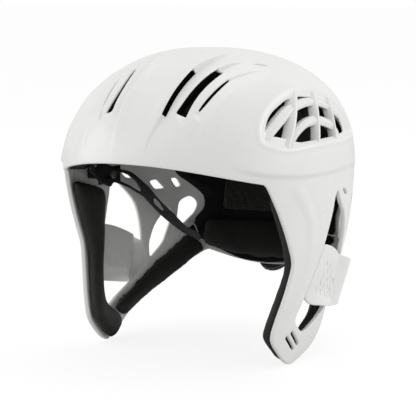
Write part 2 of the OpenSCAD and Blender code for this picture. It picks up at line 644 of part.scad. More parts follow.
// Fit dial: base, spool, axle, knob and its rubber grip
module ring(outer, inner, h) difference() {
    cylinder(r = outer, h = h, $fn = 64);
    translate([0, 0, -1]) cylinder(r = inner, h = h + 2, $fn = 64);
}
module dial_base() color(black) at_dial() difference() {
    union() {
        translate([0, 0, boss_top]) cylinder(r = base_r, h = base_floor, $fn = 64);
        translate([0, 0, boss_top]) ring(base_r, base_r - 0.9, base_ring_h);
    }
    lace_ports(base_floor + 2, boss_top - 1);
    translate([0, 0, boss_top - 1]) cylinder(d = axle_d + 2 * axle_fit, h = base_floor + 2, $fn = 32);
    around_dial() translate([0, 0, boss_top - 1])
        cylinder(d = screw_d + 2 * rivet_fit, h = base_floor + 2, $fn = 16);
}
module dial_screws() color("silver") at_dial() around_dial() {
    translate([0, 0, boss_top + base_floor]) cylinder(d = screw_head_d, h = screw_head_h, $fn = 24);
    translate([0, 0, boss_top + base_floor - screw_l]) cylinder(d = screw_d, h = screw_l, $fn = 24);
}
module dial_spool() color(grey) at_dial() difference() {
    union() {
        translate([0, 0, spool_z]) cylinder(r = flange_r, h = flange_t, $fn = 48);
        translate([0, 0, spool_z]) cylinder(r = drum_r, h = 2 * flange_t + drum_h, $fn = 48);
        translate([0, 0, spool_z + flange_t + drum_h]) cylinder(r = flange_r, h = flange_t, $fn = 48);
        translate([0, 0, spool_top]) cylinder(r = spline_r, h = spline_h, $fn = 6);
    }
    translate([0, 0, spool_z - 1]) cylinder(d = axle_d + 2 * axle_fit, h = spool_top + spline_h, $fn = 32);
}
module dial_axle() color("silver") at_dial() translate([0, 0, boss_top])
    cylinder(d = axle_d, h = spool_top + spline_h - boss_top, $fn = 32);
module dial_knob() color(black) at_dial() difference() {
    union() {
        translate([0, 0, knob_z]) ring(knob_skirt_r, base_r + gap, knob_h);
        translate([0, 0, knob_z + knob_h - knob_top_t]) cylinder(r = knob_skirt_r, h = knob_top_t, $fn = 64);
        translate([0, 0, spool_top + gap])
            ring(spline_r + 2, spline_r + 0.2, knob_z + knob_h - spool_top - gap - 0.5);
    }
    translate([0, 0, knob_z + knob_h - 0.6]) ring(knob_skirt_r - 2, knob_skirt_r - 4, 2);
}
module dial_grip() color(grey) at_dial() translate([0, 0, knob_z + 1.2]) difference() {
    ring(knob_r, knob_skirt_r + grip_fit, knob_h - 2.4);
    for (k = [0 : 17]) rotate(20 * k) translate([knob_r + 0.5, 0, -1])
        cylinder(r = 0.9, h = knob_h, $fn = 16);
}

// Lace: from the drum, in through the shell, round the rear foam in its groove and out to the arm
function dial_point(p) = let (t = -dial_tilt)
    dial_seat + [p[0], p[1] * cos(t) + p[2] * sin(t), -p[1] * sin(t) + p[2] * cos(t)];
lace_turns = 9;
lace_exit = along(rear_front_edge, groove_v) + [-2.5, 0];
lace_depth = rear_seat + 0.9;
drum_z = spool_z + flange_t + drum_h / 2;
// Depth along the dial axis for one unit of the form's depth
dial_share = sin(-dial_tilt);
// The two ends leave the drum on opposite sides, so that a clockwise turn draws both in
function lace_lead(s) = [[0, -s * (drum_r + lace_d / 2 + 0.1), drum_z],
    [s * (lace_port_x - 2.5), -s * drum_r, drum_z],
    [s * (lace_port_x - 0.6), -s * 2, drum_z - 0.4], [s * lace_port_x, -s * 0.2, drum_z - 1.6],
    [s * lace_port_x, 0, boss_top], [s * lace_port_x, 0, -wall * dial_share],
    [s * (lace_port_x + 0.6), 0, -lace_depth * dial_share]];
function lace_run(s) = concat([for (p = lace_lead(s)) dial_point(p)],
    [for (k = [1 : lace_turns]) let (p = rear_place(mix(0.5, 0, k / lace_turns), groove_v, lace_depth))
        [s * p[0], p[1], p[2]]],
    [[s * wall_x(lace_exit[0], lace_exit[1], lace_depth), lace_exit[0], lace_exit[1]], [s * 60, 78, -57],
        [s * (harness_x(harness_end_y, harness_t / 2) + 0.3), harness_end_y + lace_d / 2, -65]]);
function unit(v) = v / norm(v);
module tube(path, d, sides = 6) {
    n = len(path);
    dirs = [for (k = [0 : n - 1]) unit(path[min(n - 1, k + 1)] - path[max(0, k - 1)])];
    points = [for (k = [0 : n - 1]) let (side = unit(cross(dirs[k], [0, 0.3, 1])), top = cross(side, dirs[k]))
        for (s = [0 : sides - 1]) path[k] + d / 2 * (top * cos(360 * s / sides) + side * sin(360 * s / sides))];
    faces = concat(grid_tris(n, sides, 0, true, true),
        [[for (s = [0 : sides - 1]) s], [for (s = [sides - 1 : -1 : 0]) (n - 1) * sides + s]]);
    polyhedron(points, faces, convexity = 6);
}
module lace() color("#b8bcc0") for (s = [-1, 1]) tube(lace_run(s), lace_d);

outer_shell();
ear_cover_left();
ear_cover_right();
impact_liner();
rear_liner();
crown_pad_front();
crown_pad_rear();
crown_pad_left();
crown_pad_right();
occipital_pad();
nape_pad();
cheek_pad_left();
cheek_pad_right();
jaw_pad_left();
jaw_pad_right();
brow_pad();
brow_band();
harness_arm_left();
harness_arm_right();
harness_rivets();
temple_guide_left();
temple_guide_right();
guide_rivets();
dial_base();
dial_screws();
dial_spool();
dial_axle();
dial_knob();
dial_grip();
lace();
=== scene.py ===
import math
import bmesh
import bpy
import numpy as np
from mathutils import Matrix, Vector, kdtree
from mathutils.geometry import delaunay_2d_cdt


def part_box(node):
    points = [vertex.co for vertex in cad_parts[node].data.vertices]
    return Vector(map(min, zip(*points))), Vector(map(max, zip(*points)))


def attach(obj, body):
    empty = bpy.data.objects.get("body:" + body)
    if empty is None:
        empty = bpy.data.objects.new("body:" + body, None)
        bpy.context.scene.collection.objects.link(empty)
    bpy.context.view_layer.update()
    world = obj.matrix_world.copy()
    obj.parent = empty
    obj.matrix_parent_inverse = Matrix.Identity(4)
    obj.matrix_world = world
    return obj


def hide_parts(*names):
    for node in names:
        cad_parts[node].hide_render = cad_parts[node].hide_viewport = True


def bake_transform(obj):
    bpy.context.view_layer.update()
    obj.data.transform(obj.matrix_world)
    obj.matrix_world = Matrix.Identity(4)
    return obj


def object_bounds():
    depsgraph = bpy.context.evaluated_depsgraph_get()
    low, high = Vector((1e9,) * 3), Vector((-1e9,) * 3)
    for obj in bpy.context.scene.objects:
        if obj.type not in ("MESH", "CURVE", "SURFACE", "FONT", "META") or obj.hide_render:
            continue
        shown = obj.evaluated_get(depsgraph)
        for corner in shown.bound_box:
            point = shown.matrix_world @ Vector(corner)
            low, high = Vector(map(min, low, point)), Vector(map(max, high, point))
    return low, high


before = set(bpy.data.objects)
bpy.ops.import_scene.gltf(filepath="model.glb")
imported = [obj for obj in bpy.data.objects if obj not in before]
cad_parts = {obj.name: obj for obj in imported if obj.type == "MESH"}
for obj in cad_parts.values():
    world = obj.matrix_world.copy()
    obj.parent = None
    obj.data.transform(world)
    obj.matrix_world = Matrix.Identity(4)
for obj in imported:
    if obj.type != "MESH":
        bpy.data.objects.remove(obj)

cad_box = [list(corner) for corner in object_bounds()]
MM = 0.001

# Camera
# The photograph's view: from the wearer's left front, a little above the brow. A long lens keeps the
# two cheek arms close in size. The camera stands beside its line of sight by the small shift of the picture.
TURN = math.radians(31.0)
LIFT = math.radians(8.0)
CAMERA_DISTANCE = 1.2
PICTURE_WIDTH = 416
SENSOR_WIDTH = 36
FOCAL_PIXELS = 1566
CENTRE_PIXEL = (207.5, 169.3)
toward = Vector((math.sin(TURN) * math.cos(LIFT), -math.cos(TURN) * math.cos(LIFT), math.sin(LIFT)))
right = Vector((math.cos(TURN), math.sin(TURN), 0))
upward = toward.cross(right)
camera_data = bpy.data.cameras.new("photo_camera")
camera_data.sensor_width = SENSOR_WIDTH
camera_data.lens = SENSOR_WIDTH * FOCAL_PIXELS / PICTURE_WIDTH
camera_data.clip_start = 0.05
camera_data.clip_end = 50
camera = bpy.data.objects.new("photo_camera", camera_data)
bpy.context.scene.collection.objects.link(camera)
per_pixel = CAMERA_DISTANCE / FOCAL_PIXELS
camera.location = (toward * CAMERA_DISTANCE
                   + right * (PICTURE_WIDTH / 2 - CENTRE_PIXEL[0]) * per_pixel
                   + upward * (CENTRE_PIXEL[1] - PICTURE_WIDTH / 2) * per_pixel)
camera.rotation_mode = "QUATERNION"
camera.rotation_quaternion = (-toward).to_track_quat("-Z", "Y")
bpy.context.scene.camera = camera

# Studio
# A pale matt floor that the arm tips stand on, in a plain white room. Two softboxes stand level with the sides
# and one behind the crown, so that the face turned to the camera is a little greyer than its edges.


def linear(code):
    """An sRGB hex colour as linear values."""
    parts = [int(code[k:k + 2], 16) / 255 for k in (1, 3, 5)]
    return [c / 12.92 if c <= 0.04045 else ((c + 0.055) / 1.055) ** 2.4 for c in parts] + [1]


def add(tree, kind, links=None, **settings):
    """Adds a node. Settings name its own properties or, as text, its inputs; links join inputs to sockets."""
    node = tree.nodes.new(kind)
    for name, value in settings.items():
        if hasattr(node, name):
            setattr(node, name, value)
        else:
            node.inputs[name.replace("_", " ")].default_value = value
    for name, value in (links or {}).items():
        if isinstance(value, bpy.types.NodeSocket):
            tree.links.new(value, node.inputs[name])
        else:
            node.inputs[name].default_value = value
    return node


def new_material(name):
    """An empty material with its output, ready for a finish."""
    made = bpy.data.materials.new(name)
    made.use_nodes = True
    made.node_tree.nodes.clear()
    return made, made.node_tree, made.node_tree.nodes.new("ShaderNodeOutputMaterial")


bpy.context.scene.view_settings.view_transform = "Standard"
floor_z = cad_box[0][2]
floor_mesh = bpy.data.meshes.new("studio_floor")
floor_mesh.from_pydata([(-20, -20, floor_z), (20, -20, floor_z), (20, 20, floor_z), (-20, 20, floor_z)], [],
                       [(0, 1, 2, 3)])
studio_floor = bpy.data.objects.new("studio_floor", floor_mesh)
bpy.context.scene.collection.objects.link(studio_floor)
floor_paint, tree, out = new_material("matt_white_floor")
light_path = add(tree, "ShaderNodeLightPath")
# White to the camera, but a little greyer to the light it sends back on to the arms.
seen = add(tree, "ShaderNodeMix", {0: light_path.outputs["Is Camera Ray"], 6: linear("#DEDEDE"), 7: linear("#FCFCFC")},
           data_type="RGBA")
matt = add(tree, "ShaderNodeBsdfDiffuse", {"Color": seen.outputs[2]})
glow = add(tree, "ShaderNodeEmission", {"Color": (1, 1, 1, 1), "Strength": 1.04})
share = add(tree, "ShaderNodeMath", {0: light_path.outputs["Is Camera Ray"], 1: 0.82}, operation="MULTIPLY")
mixed = add(tree, "ShaderNodeMixShader", {0: share.outputs[0], 1: matt.outputs[0], 2: glow.outputs[0]})
tree.links.new(mixed.outputs[0], out.inputs["Surface"])
floor_mesh.materials.append(floor_paint)

room = bpy.data.worlds.new("white_room")
bpy.context.scene.world = room
room.use_nodes = True
tree = room.node_tree
tree.nodes.clear()
out = tree.nodes.new("ShaderNodeOutputWorld")
light_path = add(tree, "ShaderNodeLightPath")
backdrop = add(tree, "ShaderNodeMath", {0: light_path.outputs["Is Camera Ray"],
                                        1: light_path.outputs["Is Transmission Ray"]}, operation="MAXIMUM")
fill = add(tree, "ShaderNodeBackground", {"Color": (1, 1, 1, 1), "Strength": 0.75})
white = add(tree, "ShaderNodeBackground", {"Color": (1, 1, 1, 1), "Strength": 1.0})
mixed = add(tree, "ShaderNodeMixShader", {0: backdrop.outputs[0], 1: fill.outputs[0], 2: white.outputs[0]})
tree.links.new(mixed.outputs[0], out.inputs["Surface"])


def softbox(name, place, width, height, power):
    lamp = bpy.data.lights.new(name, "AREA")
    lamp.shape, lamp.size, lamp.size_y, lamp.energy = "RECTANGLE", width, height, power
    holder = bpy.data.objects.new(name, lamp)
    bpy.context.scene.collection.objects.link(holder)
    holder.location = place
    holder.rotation_mode = "QUATERNION"
    holder.rotation_quaternion = (-Vector(place)).to_track_quat("-Z", "Y")


softbox("side_softbox_left", (1.3, 0.8, 0.75), 1.1, 0.9, 7)
softbox("side_softbox_right", (-1.3, -0.65, 0.55), 1.1, 0.9, 5)
softbox("top_softbox", (-0.2, 0.5, 1.5), 1.0, 1.0, 2.5)

# Outer shell
# One injection moulding in white ABS, about 3.4 mm thick: a crown with slotted channels, an arched vent on
# each side and two open cheek arms. Every edge is rounded as the tool leaves it.
shell_low, shell_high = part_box("outer_shell")
HALF_W = shell_high.x / MM
FRONT_REACH = -shell_low.y / MM
REAR_REACH = shell_high.y / MM
EQUATOR_Z = 6.0
CROWN_H = shell_high.z / MM - EQUATOR_Z
WALL = 3.4
PLAN_N = 2.14
FRONT_M = 1.68
REAR_M = 2.14
SIDE_M = 2.3
SIDE_DRAW = 0.18
FRONT_DRAW = 0.10
REAR_DRAW = 0.29
REAR_DRAW_LIMIT = 0.46
SKIRT_SPAN = 143.0
NAPE_SPAN = 91.0
DOME_R = 110.0
DOME_RUN = DOME_R * math.pi / 2
NAPE_Z = 87.0
NAPE_RISE = 9.0
TIP_Z = 139.0
KNEE_Z = 63.0
BROW_MID_Z = 14.6
CORNER_Y = 65.0


def rise(t, m):
    return np.maximum(0, 1 - np.minimum(1, np.maximum(0, t)) ** m) ** (1 / m)


def half_sizes(z, depth):
    """Half width, front reach and rear reach of the form at height z, a depth under its outer face."""
    z = np.asarray(z, float)
    up = (z - EQUATOR_Z) / (CROWN_H - depth)
    drop = np.maximum(0, EQUATOR_Z - z)
    draw = REAR_DRAW * (drop / NAPE_SPAN) ** 2.6
    draw = draw / (1 + (draw / REAR_DRAW_LIMIT) ** 4) ** 0.25
    dome = z > EQUATOR_Z
    side = np.where(dome, (HALF_W - depth) * rise(up, SIDE_M),
                    HALF_W * (1 - SIDE_DRAW * (drop / SKIRT_SPAN) ** 1.8) - depth)
    front = np.where(dome, (FRONT_REACH - depth) * rise(up, FRONT_M),
                     FRONT_REACH * (1 - FRONT_DRAW * (drop / SKIRT_SPAN) ** 1.5) - depth)
    rear = np.where(dome, (REAR_REACH - depth) * rise(up, REAR_M), REAR_REACH * (1 - draw) - depth)
    return side, front, rear


def signed_power(v, e):
    return np.sign(v) * np.abs(v) ** e


def height_of(run, depth):
    """Height of the form at a run down from the crown."""
    turn_up = np.clip(math.pi / 2 - np.asarray(run, float) / DOME_R, 0, math.pi / 2)
    return np.where(run < DOME_RUN, EQUATOR_Z + (CROWN_H - depth) * np.sin(turn_up), EQUATOR_Z - (run - DOME_RUN))


def run_of(z):
    turn_up = np.arcsin(np.clip((z - EQUATOR_Z) / CROWN_H, 0, 1))
    return np.where(z > EQUATOR_Z, DOME_R * (math.pi / 2 - turn_up), DOME_RUN + EQUATOR_Z - z)


def at_height(turn, z, depth):
    """A point of the form, by its turn about the upright axis, its height and its depth."""
    side, front, rear = half_sizes(z, depth)
    c, s = np.cos(turn), np.sin(turn)
    return np.stack([side * signed_power(c, 2 / PLAN_N),
                     np.where(s < 0, front, rear) * signed_power(s, 2 / PLAN_N), z], -1)


def form_point(turn, run, depth):
    """The same, with its run down from the crown in place of its height."""
    return at_height(turn, height_of(run, depth), depth)


def on_form(p):
    """Turn and run of points that lie on or near the outer face."""
    side, front, rear = half_sizes(p[:, 2], 0)
    across = signed_power(p[:, 0] / side, PLAN_N / 2)
    along = signed_power(p[:, 1] / np.where(p[:, 1] < 0, front, rear), PLAN_N / 2)
    return np.arctan2(along, across), run_of(p[:, 2])


def wall_x(y, z, depth=0.0):
    side, front, rear = half_sizes(z, depth)
    return side * np.maximum(0, 1 - (np.abs(y) / np.where(y < 0, front, rear)) ** PLAN_N) ** (1 / PLAN_N)


def wall_y(x, z, direction, depth=0.0):
    side, front, rear = half_sizes(z, depth)
    reach = front if direction < 0 else rear
    return direction * reach * np.maximum(0, 1 - (np.abs(x) / side) ** PLAN_N) ** (1 / PLAN_N)


def crown_points(p):
    """Lifts plan points on to the crown, by halving the height between bounds."""
    low = np.full(len(p), EQUATOR_Z)
    high = np.full(len(p), EQUATOR_Z + CROWN_H - 0.001)
    for _ in range(40):
        mid = (low + high) / 2
        side, front, rear = half_sizes(mid, 0)
        reach = np.where(p[:, 1] < 0, front, rear)
        inside = (np.abs(p[:, 0]) / side) ** PLAN_N + (np.abs(p[:, 1]) / reach) ** PLAN_N < 1
        low, high = np.where(inside, mid, low), np.where(inside, high, mid)
    return np.column_stack([p, low])


def side_points(p):
    return np.column_stack([wall_x(p[:, 0], p[:, 1]), p])


def eased(points, radius, step, closed=True):
    """An outline with its corners eased by a curve of about the radius, and points about a step apart."""
    p = np.array(points, float)
    n = len(p)
    out = []
    for k in range(n):
        if not closed and k in (0, n - 1):
            out.append(p[k])
            continue
        before, after = p[k - 1] - p[k], p[(k + 1) % n] - p[k]
        la, lb = np.linalg.norm(before), np.linalg.norm(after)
        a = p[k] + before / la * min(radius, 0.49 * la)
        b = p[k] + after / lb * min(radius, 0.49 * lb)
        count = max(2, int(np.linalg.norm(b - a) / step) + 2)
        for t in np.linspace(0, 1, count + 1):
            out.append((1 - t) ** 2 * a + 2 * t * (1 - t) * p[k] + t * t * b)
    filled = []
    pairs = zip(out, out[1:] + out[:1]) if closed else zip(out, out[1:])
    for a, b in pairs:
        gap = np.linalg.norm(b - a)
        if gap < 1e-4:
            continue
        for t in range(max(1, int(round(gap / step)))):
            filled.append(a + (b - a) * t / max(1, int(round(gap / step))))
    if not closed:
        filled.append(out[-1])
    return np.array(filled)


def distance_to(p, line):
    """Distance from points to a chain of points, and how far along the chain, from 0 to 1."""
    line = np.array(line, float)
    best, share = np.full(len(p), 1e9), np.zeros(len(p))
    for k in range(len(line) - 1):
        a, d = line[k], line[k + 1] - line[k]
        t = np.clip(((p - a) @ d) / (d @ d), 0, 1)
        gap = np.linalg.norm(p - a - t[:, None] * d, axis=1)
        nearer = gap < best
        best = np.where(nearer, gap, best)
        share = np.where(nearer, (k + t) / (len(line) - 1), share)
    return best, share


def ease(t):
    s = np.clip(t, 0, 1)
    return s * s * (3 - 2 * s)


def in_domain(turn, run):
    return np.column_stack([run * np.cos(turn), run * np.sin(turn)])


def loop_area(p):
    x, y = p[:, 0], p[:, 1]
    return 0.5 * np.sum(x * np.roll(y, -1) - np.roll(x, -1) * y)


def shell_flat(p):
    return in_domain(*on_form(p))


def shell_place(flat, depth):
    return form_point(np.arctan2(flat[:, 1], flat[:, 0]), np.hypot(flat[:, 0], flat[:, 1]), depth)


def inset_loop(loop, distance, outer, surface):
    """Moves a loop of points on the outer face into the material."""
    flat_of, place_at = surface
    flat = flat_of(loop)
    centre = place_at(flat, 0)
    normal = np.cross(place_at(flat + [0.05, 0], 0) - centre, place_at(flat + [0, 0.05], 0) - centre)
    normal /= np.linalg.norm(normal, axis=1)[:, None]
    way = np.roll(loop, -1, 0) - np.roll(loop, 1, 0)
    way /= np.linalg.norm(way, axis=1)[:, None]
    inward = np.cross(normal, way) * (1 if outer else -1)
    return loop + inward * distance


def inside_loops(p, loops):
    """Even-odd test of points against closed loops in the flat domain."""
    hits = np.zeros(len(p), int)
    for loop in loops:
        low, high = loop.min(0), loop.max(0)
        near = np.nonzero((p[:, 1] >= low[1]) & (p[:, 1] <= high[1]) & (p[:, 0] <= high[0]))[0]
        if not len(near):
            continue
        q = p[near]
        a, b = loop, np.roll(loop, -1, 0)
        for part in range(0, len(near), 4000):
            x, y = q[part:part + 4000, 0][:, None], q[part:part + 4000, 1][:, None]
            crosses = (a[:, 1] > y) != (b[:, 1] > y)
            with np.errstate(divide="ignore", invalid="ignore"):
                at = (b[:, 0] - a[:, 0]) * (y - a[:, 1]) / (b[:, 1] - a[:, 1]) + a[:, 0]
            hits[near[part:part + 4000]] += np.sum(crosses & (x < at), axis=1)
    return hits % 2 == 1


def form_grid(step, fine_step, fine_zone, lowest):
    """Rings of points over the form, closer together in the fine zone."""
    spots = []
    run, ring = fine_step * 1.5, 0
    while run < DOME_RUN + EQUATOR_Z - lowest:
        z = height_of(np.array([run]), 0)
        side, front, rear = (float(v[0]) for v in half_sizes(z, 0))
        around = math.pi * (side + (front + rear) / 2)
        coarse = int(round(step / fine_step))
        count = max(1, int(around / fine_step / coarse)) * coarse
        index = np.arange(count)
        turn = 2 * math.pi * (index + 0.5 * (ring % 2)) / count
        keep = (index % coarse == 0) & (ring % coarse == 0)
        if fine_zone is not None:
            keep |= fine_zone(form_point(turn, np.full(count, run), 0))
        spots.append(in_domain(turn[keep], np.full(keep.sum(), run)))
        run += fine_step
        ring += 1
    return np.concatenate(spots)


def search_tree(points):
    tree = kdtree.KDTree(len(points))
    for k, q in enumerate(points):
        tree.insert(q, k)
    tree.balance()
    return tree


def fill_face(outline, holes, insets, grid, surface, clearance=1.1):
    """Triangles over one face: the outline and holes, their inset loops and the grid between them."""
    flat_of, place_at = surface
    rings, owners = [], []
    for number, loop in enumerate([outline] + holes):
        for step_in in insets:
            rings.append(inset_loop(loop, step_in, number == 0, surface) if step_in else loop)
            owners.append((number, step_in))
    flat = [flat_of(r) for r in rings]
    edges_at = [flat[k] for k, o in enumerate(owners) if o[1] == 0]
    grid = grid[inside_loops(grid, edges_at)]
    spots = place_at(grid, 0)
    tree = search_tree(np.concatenate(rings))
    clear = np.array([tree.find(q)[2] > clearance for q in spots])
    points = np.concatenate(flat + [grid[clear]])
    edges, start = [], 0
    for r in flat:
        edges += [(start + k, start + (k + 1) % len(r)) for k in range(len(r))]
        start += len(r)
    made, _, faces, origin, _, _ = delaunay_2d_cdt([Vector(q) for q in points], edges, [], 0, 1e-4)
    made = np.array([tuple(q) for q in made])
    faces = np.array([f for f in faces if len(f) == 3])
    middle = made[faces].mean(1)
    faces = faces[inside_loops(middle, edges_at)]
    cross = np.cross(made[faces[:, 1]] - made[faces[:, 0]], made[faces[:, 2]] - made[faces[:, 0]])
    faces[cross < 0] = faces[cross < 0][:, ::-1]
    where = {}
    for k, o in enumerate(origin):
        for q in o:
            where[q] = k
    loops, gap, start = [], np.full(len(made), 1e9), 0
    for k, r in enumerate(flat):
        index = [where[start + q] for q in range(len(r))]
        gap[index] = owners[k][1]
        if owners[k][1] == 0:
            loops.append(index)
        start += len(r)
    return made, faces, loops, gap


RIM_STEPS = (0, 0.15, 0.45, 1.0)


def rim_drop(rim, gap):
    """How far a face drops at a gap from its edge, so that the rim is round."""
    return rim - np.sqrt(np.maximum(0, rim ** 2 - np.maximum(0, rim - gap) ** 2))


def moulded_sheet(outline, holes, outer_depth, inner_depth, rim, grids, surface=(shell_flat, shell_place), mouths=None):
    """A closed moulding between two depths of a surface, with rounded rims. The mouths are its holes' inner ends."""
    insets = [step_in * rim for step_in in RIM_STEPS]
    top = fill_face(outline, holes, insets, grids[0], surface)
    low = fill_face(outline, mouths or holes, insets, grids[1], surface)
    faces, points, base = [], [], 0
    for k, (flat, tris, _, gap) in enumerate((top, low)):
        drop = rim_drop(rim, gap)
        spots = surface[1](flat, 0)
        depth = outer_depth(spots) + drop if k == 0 else inner_depth(spots) - drop
        points.append(surface[1](flat, depth))
        faces += [tuple(f + base) for f in (tris if k == 0 else tris[:, ::-1])]
        if k == 0:
            base = len(flat)
    for number, (a, b) in enumerate(zip(top[2], low[2])):
        for k in range(len(a)):
            m = (k + 1) % len(a)
            quad = (a[k], b[k] + base, b[m] + base, a[m])
            faces.append(quad if number == 0 else quad[::-1])
    return np.concatenate(points), faces


def mesh_piece(name, points, faces):
    """A new object from points in millimetres."""
    mesh = bpy.data.meshes.new(name)
    mesh.from_pydata([tuple(p) for p in np.asarray(points) * MM], [], [tuple(int(i) for i in f) for f in faces])
    mesh.validate()
    mesh.polygons.foreach_set("use_smooth", [True] * len(mesh.polygons))
    piece = bpy.data.objects.new(name, mesh)
    bpy.context.scene.collection.objects.link(piece)
    return piece


def mirrored(points):
    return points * np.array([-1, 1, 1])


BROW_HALF_W = 89.0


def brow_z(x):
    return BROW_MID_Z - (BROW_MID_Z + 0.3) * (np.abs(x) / BROW_HALF_W) ** 2.2


arm_front = [(-55, -20), (-46, -38), (-37, 6 - KNEE_Z), (-36, -KNEE_Z), (-40, -83), (-45, -101),
             (-47, 27 - TIP_Z), (-45, 20 - TIP_Z), (-30, 5 - TIP_Z), (-21, -TIP_Z)]
arm_under = [(-15, 1.5 - TIP_Z), (5, -130), (28, -115), (48, -103), (70, -89)]
brow_x = np.linspace(-86, 86, 41)
brow_line = np.column_stack([brow_x, wall_y(brow_x, brow_z(brow_x), -1), brow_z(brow_x)])
NAPE_HALF_W = 53
nape_x = np.linspace(NAPE_HALF_W, -NAPE_HALF_W, 25)
nape_heights = NAPE_RISE * (nape_x / NAPE_HALF_W) ** 2 - NAPE_Z
nape_line = np.column_stack([nape_x, wall_y(nape_x, nape_heights, 1), nape_heights])
arm_line = side_points(np.array([(-CORNER_Y, -0.3)] + arm_front + arm_under))
shell_outline = eased(np.concatenate([brow_line, arm_line, nape_line, mirrored(arm_line)[::-1]]), 7, 2.2)
turn, run = on_form(shell_outline)
shell_outline = form_point(turn, run, 0)

ear_window = [(19, -10), (14, -15), (12, -25), (8, -35), (2, -50), (-5, -63), (-12, -75), (-18, -88), (-24, -99),
              (-25, -104), (-22, -108), (-12, -116), (4, -109), (22, -101), (43, -86), (44, -67), (45, -53),
              (43, -39), (36, -29), (25, -20)]
strut_window = [(74, -43), (76, -50), (70, -60), (62, -72), (47, -84), (50, -71), (58, -58), (66, -50)]
rear_window = [(84, -39), (93, -35), (97, -41), (93, -49), (81, -59), (78, -56)]
small_windows = [[(59, -21), (66, -20), (73, -28), (64, -28)], [(79, -20), (84, -20), (87, -27), (83, -28)],
                 [(28, -11), (36, -12), (42, -17), (34, -16)]]
vent_pan = [(-65, 31), (-61, 41.5), (-52, 51), (-42, 57), (-29, 62), (-14, 65.5), (4, 65), (21, 63),
            (35, 57), (51, 47), (62, 38), (66, 27), (16, 26), (-15, 26), (-47, 24), (-62, 28)]
vent_opening = [(-58, 35.5), (-57.5, 40), (-51, 47.5), (-43.5, 52.6), (-28, 59.2), (-11, 61.5), (4, 60.2),
                (17, 58), (28, 55), (42, 45), (47, 31), (20, 29.8), (-17, 29.3), (-32, 28.7), (-46, 33)]
side_holes = [eased(ear_window, 7, 2.0), eased(strut_window, 5, 1.6), eased(rear_window, 3.5, 1.4),
              eased(vent_opening, 5, 1.6)] + [eased(w, 2.2, 1.0) for w in small_windows]

STRAP_W = 15.0
STRAP_SLOT_W = 3.0


def slot_outline(a, b, radius):
    """A long hole with round ends between two points."""
    a, b = np.array(a, float), np.array(b, float)
    way = math.atan2(*(b - a)[::-1])
    turns = way + np.linspace(-math.pi / 2, math.pi / 2, 6)
    fan = radius * np.array([(math.cos(t), math.sin(t)) for t in turns])
    return np.concatenate([b + fan, a - fan])


half_slot = (STRAP_W + 2 - STRAP_SLOT_W) / 2 / math.sqrt(2)
for middle in ((-26, 18 - TIP_Z), (-21, 21 - TIP_Z)):
    a = (middle[0] - half_slot, middle[1] + half_slot)
    b = (middle[0] + half_slot, middle[1] - half_slot)
    outline = slot_outline(a, b, STRAP_SLOT_W / 2)
    side_holes.append(eased(outline, 0.6, 1.5))

# Each crown slot is given in plan, as rows of its place along the crown and its inner and outer edge, with how
# far it runs in under the ridge beside it
crown_slots = [([(-91.8, 17.9, 20.5), (-84, 18.3, 20.3), (-74, 18.6, 20.2), (-64, 19.0, 20.5), (-52, 19.7, 21.2)], 4.2),
               ([(-88, 27.0, 34.9), (-82, 28.1, 34.7), (-74, 28.9, 34.9), (-63, 30.3, 36.0), (-52, 32.2, 37.8),
                 (-43, 34.4, 39.4)], 3.8),
               ([(-81, 41.2, 42.2), (-75, 42.0, 43.9), (-66, 43.5, 45.5), (-57, 45.1, 46.9), (-48.5, 47.0, 47.8)], 2.2),
               ([(-20, 51.7, 52.3), (-16, 54.6, 56.6), (-12, 58.7, 59.3)], 0)]


def along(p, t):
    """A smooth curve through points, at shares t of its length in points."""
    p, t = np.asarray(p, float), np.atleast_1d(np.asarray(t, float))
    n = len(p) - 1
    s = np.minimum(n - 1, np.floor(t * n)).astype(int)
    f = (t * n - s)[:, None]
    a, b, c, d = p[np.maximum(0, s - 1)], p[s], p[s + 1], p[np.minimum(n, s + 2)]
    return b + (c - a) * (f / 2) + (2 * a - 5 * b + 4 * c - d) * (f * f / 2) + (3 * b - a - 3 * c + d) * (f ** 3 / 2)


crown_holes, crown_mouths, foam_slots = [], [], []
for rows, under in crown_slots:
    rows = along(rows, np.linspace(0, 1, 13))
    loop = eased(np.vstack([rows[:, [1, 0]], rows[::-1, [2, 0]]]), 0.4, 1.3)
    low, high = (np.interp(loop[:, 1], rows[:, 0], rows[:, k]) for k in (1, 2))
    inner = np.clip((high - loop[:, 0]) / (high - low), 0, 1)[:, None] * [1, 0]
    crown_holes.append(loop)
    crown_mouths.append(loop - inner * under)
    foam_slots.append(loop - inner * (0.8 * under + 0.6) + (1 - inner) * [0.5, 0])


def both(loops, lift):
    """Loops on the outer face for the two sides, all turning the same way in the flat domain."""
    out = []
    for loop in loops:
        p = lift(loop)
        out += [p, mirrored(p)]
    return [p if loop_area(in_domain(*on_form(p))) > 0 else p[::-1] for p in out]


shell_holes = both(side_holes, side_points) + both(crown_holes, crown_points)
low_holes = both(side_holes, side_points) + both(crown_mouths, crown_points)
if loop_area(in_domain(*on_form(shell_outline))) < 0:
    shell_outline = shell_outline[::-1]

